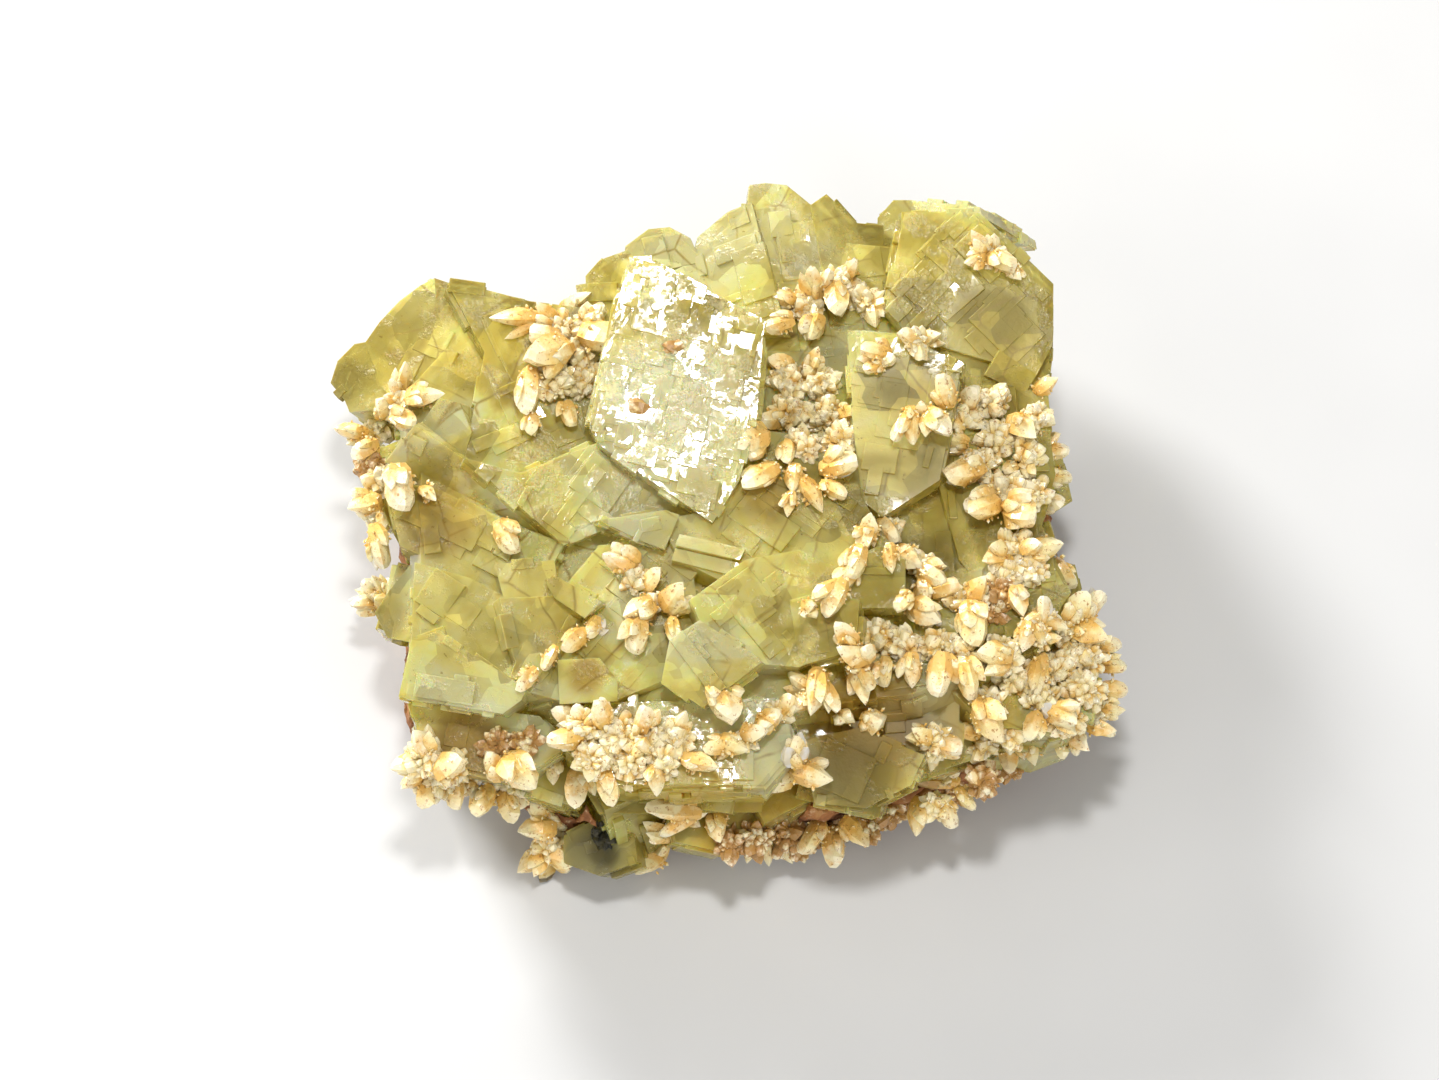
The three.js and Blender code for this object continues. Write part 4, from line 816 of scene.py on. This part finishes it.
def calcite_material(name, stain, stain_colour):
    """Cream to peach translucent calcite, rusty at the roots and speckled. stain is how far the rust goes."""
    material, shader, add, give = new_material(name)
    place = add("TexCoord").outputs["Object"]
    along = add("Attribute", attribute_name="along").outputs["Fac"]
    tone = add("Attribute", attribute_name="tone").outputs["Fac"]
    body = ramp(add, tone, (0.0, PEACH), (0.45, CREAM), (1.0, (0.97, 0.84, 0.54)))
    body = mixed(add, ramp(add, along, (0.66, 0.0), (1.0, 0.6)), body, (1.0, 0.91, 0.72))
    blotch = noise(add, place, 620, 5, 0.65)
    reach = add("Math", {0: along, 1: -0.45, 2: blotch}, operation="MULTIPLY_ADD").outputs[0]
    rusty = ramp(add, reach, (0.34 - stain, 0.0), (0.54 - stain, 0.85))
    body = mixed(add, rusty, body, stain_colour)
    specks = ramp(add, noise(add, place, 2100, 5, 0.75), (0.58, 0.0), (0.64, 0.9))
    body = mixed(add, specks, body, (0.44, 0.19, 0.04))
    give(shader.inputs["Base Color"], body)
    give(shader.inputs["Roughness"], ramp(add, noise(add, place, 900, 4), (0.4, 0.06), (0.65, 0.32)))
    pits = noise(add, place, 2600, 5, 0.7)
    give(shader.inputs["Normal"],
         add("Bump", {"Strength": 0.45, "Distance": 0.1 * MM, "Height": pits}).outputs[0])
    shader.inputs["IOR"].default_value = 1.6
    shader.inputs["Transmission Weight"].default_value = 0.1
    shader.inputs["Subsurface Weight"].default_value = 0.35
    shader.inputs["Subsurface Radius"].default_value = (1.0, 0.85, 0.7)
    shader.inputs["Subsurface Scale"].default_value = 0.3 * MM
    return material


def glint_calcite_material():
    """Almost colourless calcite with smooth faces, whiter than the cream calcite: a painted highlight where
    the calcite glints, besides the real gloss of the smooth faces.
    """
    material, shader, add, give = new_material("glint_calcite")
    place = add("TexCoord").outputs["Object"]
    give(shader.inputs["Base Color"],
         ramp(add, noise(add, place, 700, 4), (0.4, (0.98, 0.88, 0.66)), (0.6, (1.0, 0.98, 0.93))))
    give(shader.inputs["Roughness"], ramp(add, noise(add, place, 900, 4), (0.4, 0.03), (0.65, 0.12)))
    shader.inputs["IOR"].default_value = 1.66
    shader.inputs["Transmission Weight"].default_value = 0.35
    return material


def veil_material():
    """Pale reflecting crack surfaces."""
    material, shader, add, give = new_material("veil")
    place = add("TexCoord").outputs["Object"]
    give(shader.inputs["Base Color"],
         ramp(add, noise(add, place, 900, 5), (0.35, (0.80, 0.62, 0.22)), (0.6, (1.0, 0.97, 0.84))))
    shader.inputs["Roughness"].default_value = 0.25
    return material


def dark_lump_material():
    """Nearly black, faintly green."""
    material, shader, add, give = new_material("near_black_lump")
    place = add("TexCoord").outputs["Object"]
    give(shader.inputs["Base Color"],
         ramp(add, noise(add, place, 1200, 5), (0.4, (0.01, 0.01, 0.006)), (0.65, (0.07, 0.06, 0.02))))
    shader.inputs["Roughness"].default_value = 0.5
    return material


def rock_material():
    """Iron-stained rock: red-brown, ochre and nearly black."""
    material, shader, add, give = new_material("rock")
    place = add("TexCoord").outputs["Object"]
    base = ramp(add, noise(add, place, 160, 6, 0.65, 0.8),
                (0.3, (0.05, 0.02, 0.01)), (0.45, (0.2, 0.07, 0.02)),
                (0.6, (0.42, 0.17, 0.05)), (0.75, (0.55, 0.33, 0.12)))
    grains = ramp(add, noise(add, place, 1500, 5, 0.7), (0.58, 0.0), (0.68, 0.8))
    base = mixed(add, grains, base, (0.68, 0.5, 0.3))
    give(shader.inputs["Base Color"], base)
    shader.inputs["Roughness"].default_value = 0.75
    pits = noise(add, place, 1800, 6, 0.7)
    give(shader.inputs["Normal"],
         add("Bump", {"Strength": 0.7, "Distance": 0.3 * MM, "Height": pits}).outputs[0])
    return material


def floor_material():
    """A plain pale floor."""
    material, shader, add, give = new_material("floor")
    place = add("TexCoord").outputs["Object"]
    give(shader.inputs["Base Color"], ramp(add, noise(add, place, 30, 2), (0.3, 0.58), (0.7, 0.61)))
    shader.inputs["Roughness"].default_value = 0.7
    return material


# The pieces

def build_fluorite(material):
    """The fluorite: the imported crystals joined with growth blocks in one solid."""
    base = bpy.data.meshes.new("fluorite_base")
    fluorite_solid.to_mesh(base)
    blocks = bpy.data.collections.new("blocks")
    bpy.context.scene.collection.children.link(blocks)
    for block in growth_blocks(fluorite_solid, random.Random(GROWTH_SEED)):
        blocks.objects.link(block)
    mesh = with_modifiers(base, ("BOOLEAN", {"operation": "UNION", "operand_type": "COLLECTION",
                                             "collection": blocks, "solver": "MANIFOLD"}))
    bpy.data.batch_remove([*blocks.objects, blocks])
    mesh.name = "fluorite_crystals"
    return add_piece("fluorite_crystals", mesh, material, ["fluorite_cluster"])


VEIL_SEED = 31
VEILS = 150
VEIL_FIELD_X = (-33, 33)  # the part of the crystal side that has veils, in mm
VEIL_FIELD_Y = (-22, 30)
VEIL_DEPTHS = (0.4, 2.2)  # under the surface, in mm
VEIL_SIZES = (0.8, 3.2)
VEIL_THICKNESS = 0.04 * MM
VEIL_COVER = 0.25 * MM  # fluorite left over a veil


def sealed(point):
    """Is the point inside the fluorite, with some of it over the point on every side?"""
    crossings, start = 0, point
    while hit := FLUORITE_TREE.ray_cast(start, OUT)[0]:
        crossings += 1
        start = hit + OUT * 0.001 * MM
    return crossings % 2 == 1 and FLUORITE_TREE.find_nearest(point)[3] > VEIL_COVER


def build_veils(material):
    """Healed cleavage cracks sealed in the fluorite: thin slanted sheets."""
    dice = random.Random(VEIL_SEED)
    veils = bmesh.new()
    while len(veils.faces) < 6 * VEILS:
        point, normal, _ = surface_at(dice.uniform(*VEIL_FIELD_X), dice.uniform(*VEIL_FIELD_Y))
        middle = point - normal * dice.uniform(*VEIL_DEPTHS) * MM
        turn = Euler([dice.uniform(0, math.tau) for _ in "xyz"]).to_matrix().to_4x4()
        long, wide = dice.uniform(*VEIL_SIZES) * MM, dice.uniform(*VEIL_SIZES) * MM
        place = Matrix.Translation(middle) @ turn @ Matrix.Diagonal((long, wide, VEIL_THICKNESS, 1))
        if all(sealed(place @ Vector((x, y, 0))) for x in (-0.5, 0, 0.5) for y in (-0.5, 0, 0.5)):
            bmesh.ops.create_cube(veils, size=1, matrix=place)
    mesh = bpy.data.meshes.new("fluorite_veils")
    veils.to_mesh(mesh)
    veils.free()
    add_piece("fluorite_veils", mesh, material, [])


DARK_LUMP_SEED = 32
DARK_LUMP_PLACE = (-10.7, -30.4)
DARK_LUMP_DEPTH = 1.2 * MM


def build_dark_lump(material):
    """The black lump sealed in the glassy crystal at the lower left."""
    crystals = Crystals(DARK_LUMP_SEED)
    point, normal, _ = surface_at(*DARK_LUMP_PLACE)
    middle = point - normal * DARK_LUMP_DEPTH
    crystals.druse(middle, normal, 1.3 * MM, 50)
    crystals.druse(middle - RIGHT * 1.1 * MM, normal, 0.9 * MM, 25)
    add_piece("dark_lump", crystals.mesh("dark_lump"), material, [])


def patch_nodes(name):
    """The CAD nodes of a patch: the one with its name and its numbered parts."""
    return [node for node in NODES if node == name or node.rpartition("_")[0] == name and node[-1].isdigit()]


FIRST_PATCH_SEED = 101
CRYSTAL_STANDS_OUT = 0.22  # of its width
KNOT_STANDS_OUT = 0.1  # of its radius
KNOT_CRYSTALS = 20  # for a knot of 1 mm radius, and more with its square


def build_patch(name, shape, seed, material):
    """A calcite patch on the crystal side."""
    crystals = Crystals(seed)
    for x, y, long, wide, turn, lift in shape["crystals"]:
        angle, raise_by = math.radians(turn), math.radians(lift)
        across = RIGHT * math.cos(angle) + UP * math.sin(angle)
        direction = across * math.cos(raise_by) + OUT * math.sin(raise_by)
        long, wide = long * MM, wide * MM
        root = surface_at(x, y)[0] + OUT * wide * CRYSTAL_STANDS_OUT
        root += OUT * math.sin(raise_by) * long / 2 - direction * long / 2
        crystals.group(root, direction, long * 1.05, wide)
    for x, y, radius in shape["knots"]:
        point, normal, _ = surface_at(x, y)
        outward = (normal + OUT).normalized()
        centre = point + outward * radius * KNOT_STANDS_OUT * MM
        crystals.druse(centre, outward, radius * MM, int(radius * radius * KNOT_CRYSTALS))
    add_piece(name + "_crystals", crystals.mesh(name), material, patch_nodes(name))


FIRST_SPRAY_SEED = 201
SPRAY_OUTWARD_RISE = 0.35
SPRAY_SPREAD = 1.1  # radians to each side
SPRAY_WIDTH = 0.55  # of a crystal's length
SPRAY_DRUSE = 60


def build_spray(name, shape, seed, material):
    """A spray of calcite on the back or a side."""
    crystals = Crystals(seed)
    dice = crystals.dice
    centre = Vector(shape["at"]) * MM
    turn, long = math.radians(shape["turn"]), shape["long"] * MM
    outward = Vector((math.cos(turn), math.sin(turn), SPRAY_OUTWARD_RISE)).normalized()
    for count in range(shape["points"]):
        around = turn + dice.uniform(-SPRAY_SPREAD, SPRAY_SPREAD)
        raise_by = (count / shape["points"] - 0.35) * 1.7 + dice.uniform(0, 0.3)
        direction = Vector((math.cos(around) * math.cos(raise_by), math.sin(around) * math.cos(raise_by),
                            math.sin(raise_by)))
        crystals.group(centre, direction, long * dice.uniform(0.8, 1.15), long * SPRAY_WIDTH)
    crystals.druse(centre, outward, long * SPRAY_WIDTH, SPRAY_DRUSE)
    add_piece(name + "_crystals", crystals.mesh(name), material, patch_nodes(name))


# Lumps of rusty crystals along the lower edge and beside the calcite on the left: x, y, radius in mm
RUST_KNOTS = [
    (1, -30.3, 1.6), (3.5, -29.8, 1.8), (6.5, -29.3, 2), (10, -28.7, 2), (13.5, -28, 2), (17, -27, 1.8),
    (20, -26, 1.8), (23.5, -25, 1.6), (26.5, -24, 1.6), (29, -22.8, 1.4), (15, -29, 1.5), (8, -30.5, 1.5),
    (-4.5, 19.2, 0.5), (-7.8, 13.2, 0.5), (-35, 7.2, 1.5), (-22, -21, 2), (-19.5, -20.6, 1.6),
    (28.5, -5.5, 2), (27, -7.5, 1.6),
]


RUST_SEED = 77
RUST_CRYSTALS = 22  # for a knot of 1 mm radius


def build_rust(material):
    """Crusts of small rusty crystals."""
    crystals = Crystals(RUST_SEED)
    for x, y, radius in RUST_KNOTS:
        point, normal, _ = surface_at(x, y)
        outward = (normal + OUT).normalized()
        crystals.druse(point, outward, radius * MM, int(radius * radius * RUST_CRYSTALS))
    add_piece("rust_crystals", crystals.mesh("rust_crystals"), material, [])


# Crystals in the whiter calcite, put where the calcite glints, a painted highlight beside their real gloss:
# x, y, length in mm and direction in degrees
GLINT_CRYSTALS = [(-32.7, 12.8, 2.6, 60), (9.4, 25.2, 2.6, 115), (13.3, 27.2, 2, 80), (6.2, 17.5, 2.6, -30),
                  (11.8, 7.4, 3, 20), (25, 14.2, 2, 50), (16.8, 0.9, 2.4, 75), (21.5, -7.5, 2.2, -60),
                  (23.3, -6.1, 2.4, 30), (32.4, -7.6, 3, 65), (37.3, -5.8, 2.2, 100), (34, -17.8, 4.2, 150),
                  (9.5, -15.2, 2.6, 40), (7.6, -21.2, 4, 75), (3.3, -19.5, 2, 30), (-34, -1.5, 2.6, -60),
                  (-24, -24, 2.2, 80), (-12, -8.8, 2, 60)]


GLINT_SEED = 78
GLINT_LIFT = 0.5
GLINT_WIDTH = 0.6  # of its length


def build_glint_crystals(material):
    """Whiter, glossy crystals between the cream ones: a painted highlight where the calcite glints."""
    crystals = Crystals(GLINT_SEED)
    for x, y, long, turn in GLINT_CRYSTALS:
        angle = math.radians(turn)
        point, normal, _ = surface_at(x, y)
        direction = (RIGHT * math.cos(angle) + UP * math.sin(angle) + OUT * GLINT_LIFT).normalized()
        long *= MM
        root = point + OUT * long * 0.2 - direction * long * 0.4
        crystals.group(root, direction, long, long * GLINT_WIDTH)
    add_piece("glint_crystals", crystals.mesh("glint_crystals"), material, [])


ROCK_VOXEL = 0.55 * MM
ROCK_FOOT = 0.3 * MM  # the rock is left plain up to here, so that it stays flat underneath
ROCK_LUMPS = 5 * MM
ROCK_GRAIN = 1.1 * MM
ROCK_ROUGHNESS = 0.75 * MM


def build_rock(material):
    """The rusty rock, rough all over and cut flat underneath."""
    base = bpy.data.meshes.new("rock_base")
    rock_solid.to_mesh(base)
    mesh = with_modifiers(base, ("REMESH", {"mode": "VOXEL", "voxel_size": ROCK_VOXEL}))
    places = [vert.co.copy() for vert in mesh.vertices]
    normals = [vert.normal.copy() for vert in mesh.vertices]
    for count, (place, normal) in enumerate(zip(places, normals)):
        if place.z < ROCK_FOOT:
            continue
        rough = waves.fractal(place / ROCK_LUMPS, 0.7, 2.1, 5) + 0.5 * waves.noise(place / ROCK_GRAIN)
        places[count] = place + normal * (rough * ROCK_ROUGHNESS - ROCK_ROUGHNESS / 4)
        places[count].z = max(places[count].z, ROCK_FOOT)
    mesh.vertices.foreach_set("co", np.array(places).ravel())
    mesh.name = "matrix"
    return add_piece("matrix", mesh, material, ["matrix_rock"])


# The stage

def build_stage():
    """A plain pale floor, a pale sky, soft lights and the camera."""
    mesh = bpy.data.meshes.new("floor")
    mesh.from_pydata([(-2, -2, 0), (2, -2, 0), (2, 2, 0), (-2, 2, 0)], [], [(0, 1, 2, 3)])
    mesh.materials.append(floor_material())
    floor = bpy.data.objects.new("floor", mesh)
    floor.location.z = -0.02 * MM
    bpy.context.scene.collection.objects.link(floor)
    world = bpy.data.worlds.new("pale")
    world.use_nodes = True
    world.node_tree.nodes["Background"].inputs["Color"].default_value = (1.0, 0.97, 0.9, 1)
    world.node_tree.nodes["Background"].inputs["Strength"].default_value = 0.34
    bpy.context.scene.world = world
    area_light("overhead", (0.01, 0.03, 0.6), 0.07, 1.7)
    area_light("behind", (-0.32, 0.42, 0.26), 0.16, 5.0)
    area_light("front", (0.32, -0.5, 0.3), 0.35, 1.7)
    area_light("left_fill", (-0.5, -0.2, 0.25), 0.4, 1.2)
    camera = bpy.data.cameras.new("camera")
    camera.sensor_width = SENSOR_WIDTH_MM
    camera.lens = SENSOR_WIDTH_MM * EYE_DISTANCE / (PHOTO_WIDTH_MM * MM)
    camera.clip_start = 0.01
    seat = bpy.data.objects.new("camera", camera)
    seat.location = EYE
    seat.rotation_euler = (math.radians(90) - SHOW_ELEVATION, 0, 0)
    bpy.context.scene.collection.objects.link(seat)
    bpy.context.scene.camera = seat
    bpy.context.scene.view_settings.view_transform = "Standard"
    light_paths = bpy.context.scene.cycles
    light_paths.max_bounces = 6
    light_paths.transmission_bounces = 6
    light_paths.diffuse_bounces = 2
    light_paths.glossy_bounces = 2


def area_light(name, place, size, power):
    """A soft square light aimed at the specimen."""
    light = bpy.data.lights.new(name, "AREA")
    light.size = size
    light.energy = power
    holder = bpy.data.objects.new(name, light)
    holder.location = place
    holder.rotation_euler = (SHOW_MIDDLE - Vector(place)).to_track_quat("-Z", "Y").to_euler()
    bpy.context.scene.collection.objects.link(holder)


def build():
    """Everything."""
    build_fluorite(fluorite_material())
    build_veils(veil_material())
    build_dark_lump(dark_lump_material())
    build_rock(rock_material())
    calcite = calcite_material("calcite", 0.19, ORANGE)
    for count, (name, shape) in enumerate(PATCHES.items()):
        build_patch(name, shape, FIRST_PATCH_SEED + count, calcite)
    for count, (name, shape) in enumerate(SPRAYS.items()):
        build_spray(name, shape, FIRST_SPRAY_SEED + count, calcite)
    build_glint_crystals(glint_calcite_material())
    build_rust(calcite_material("rusty_calcite", 0.42, RUST))
    build_stage()


build()
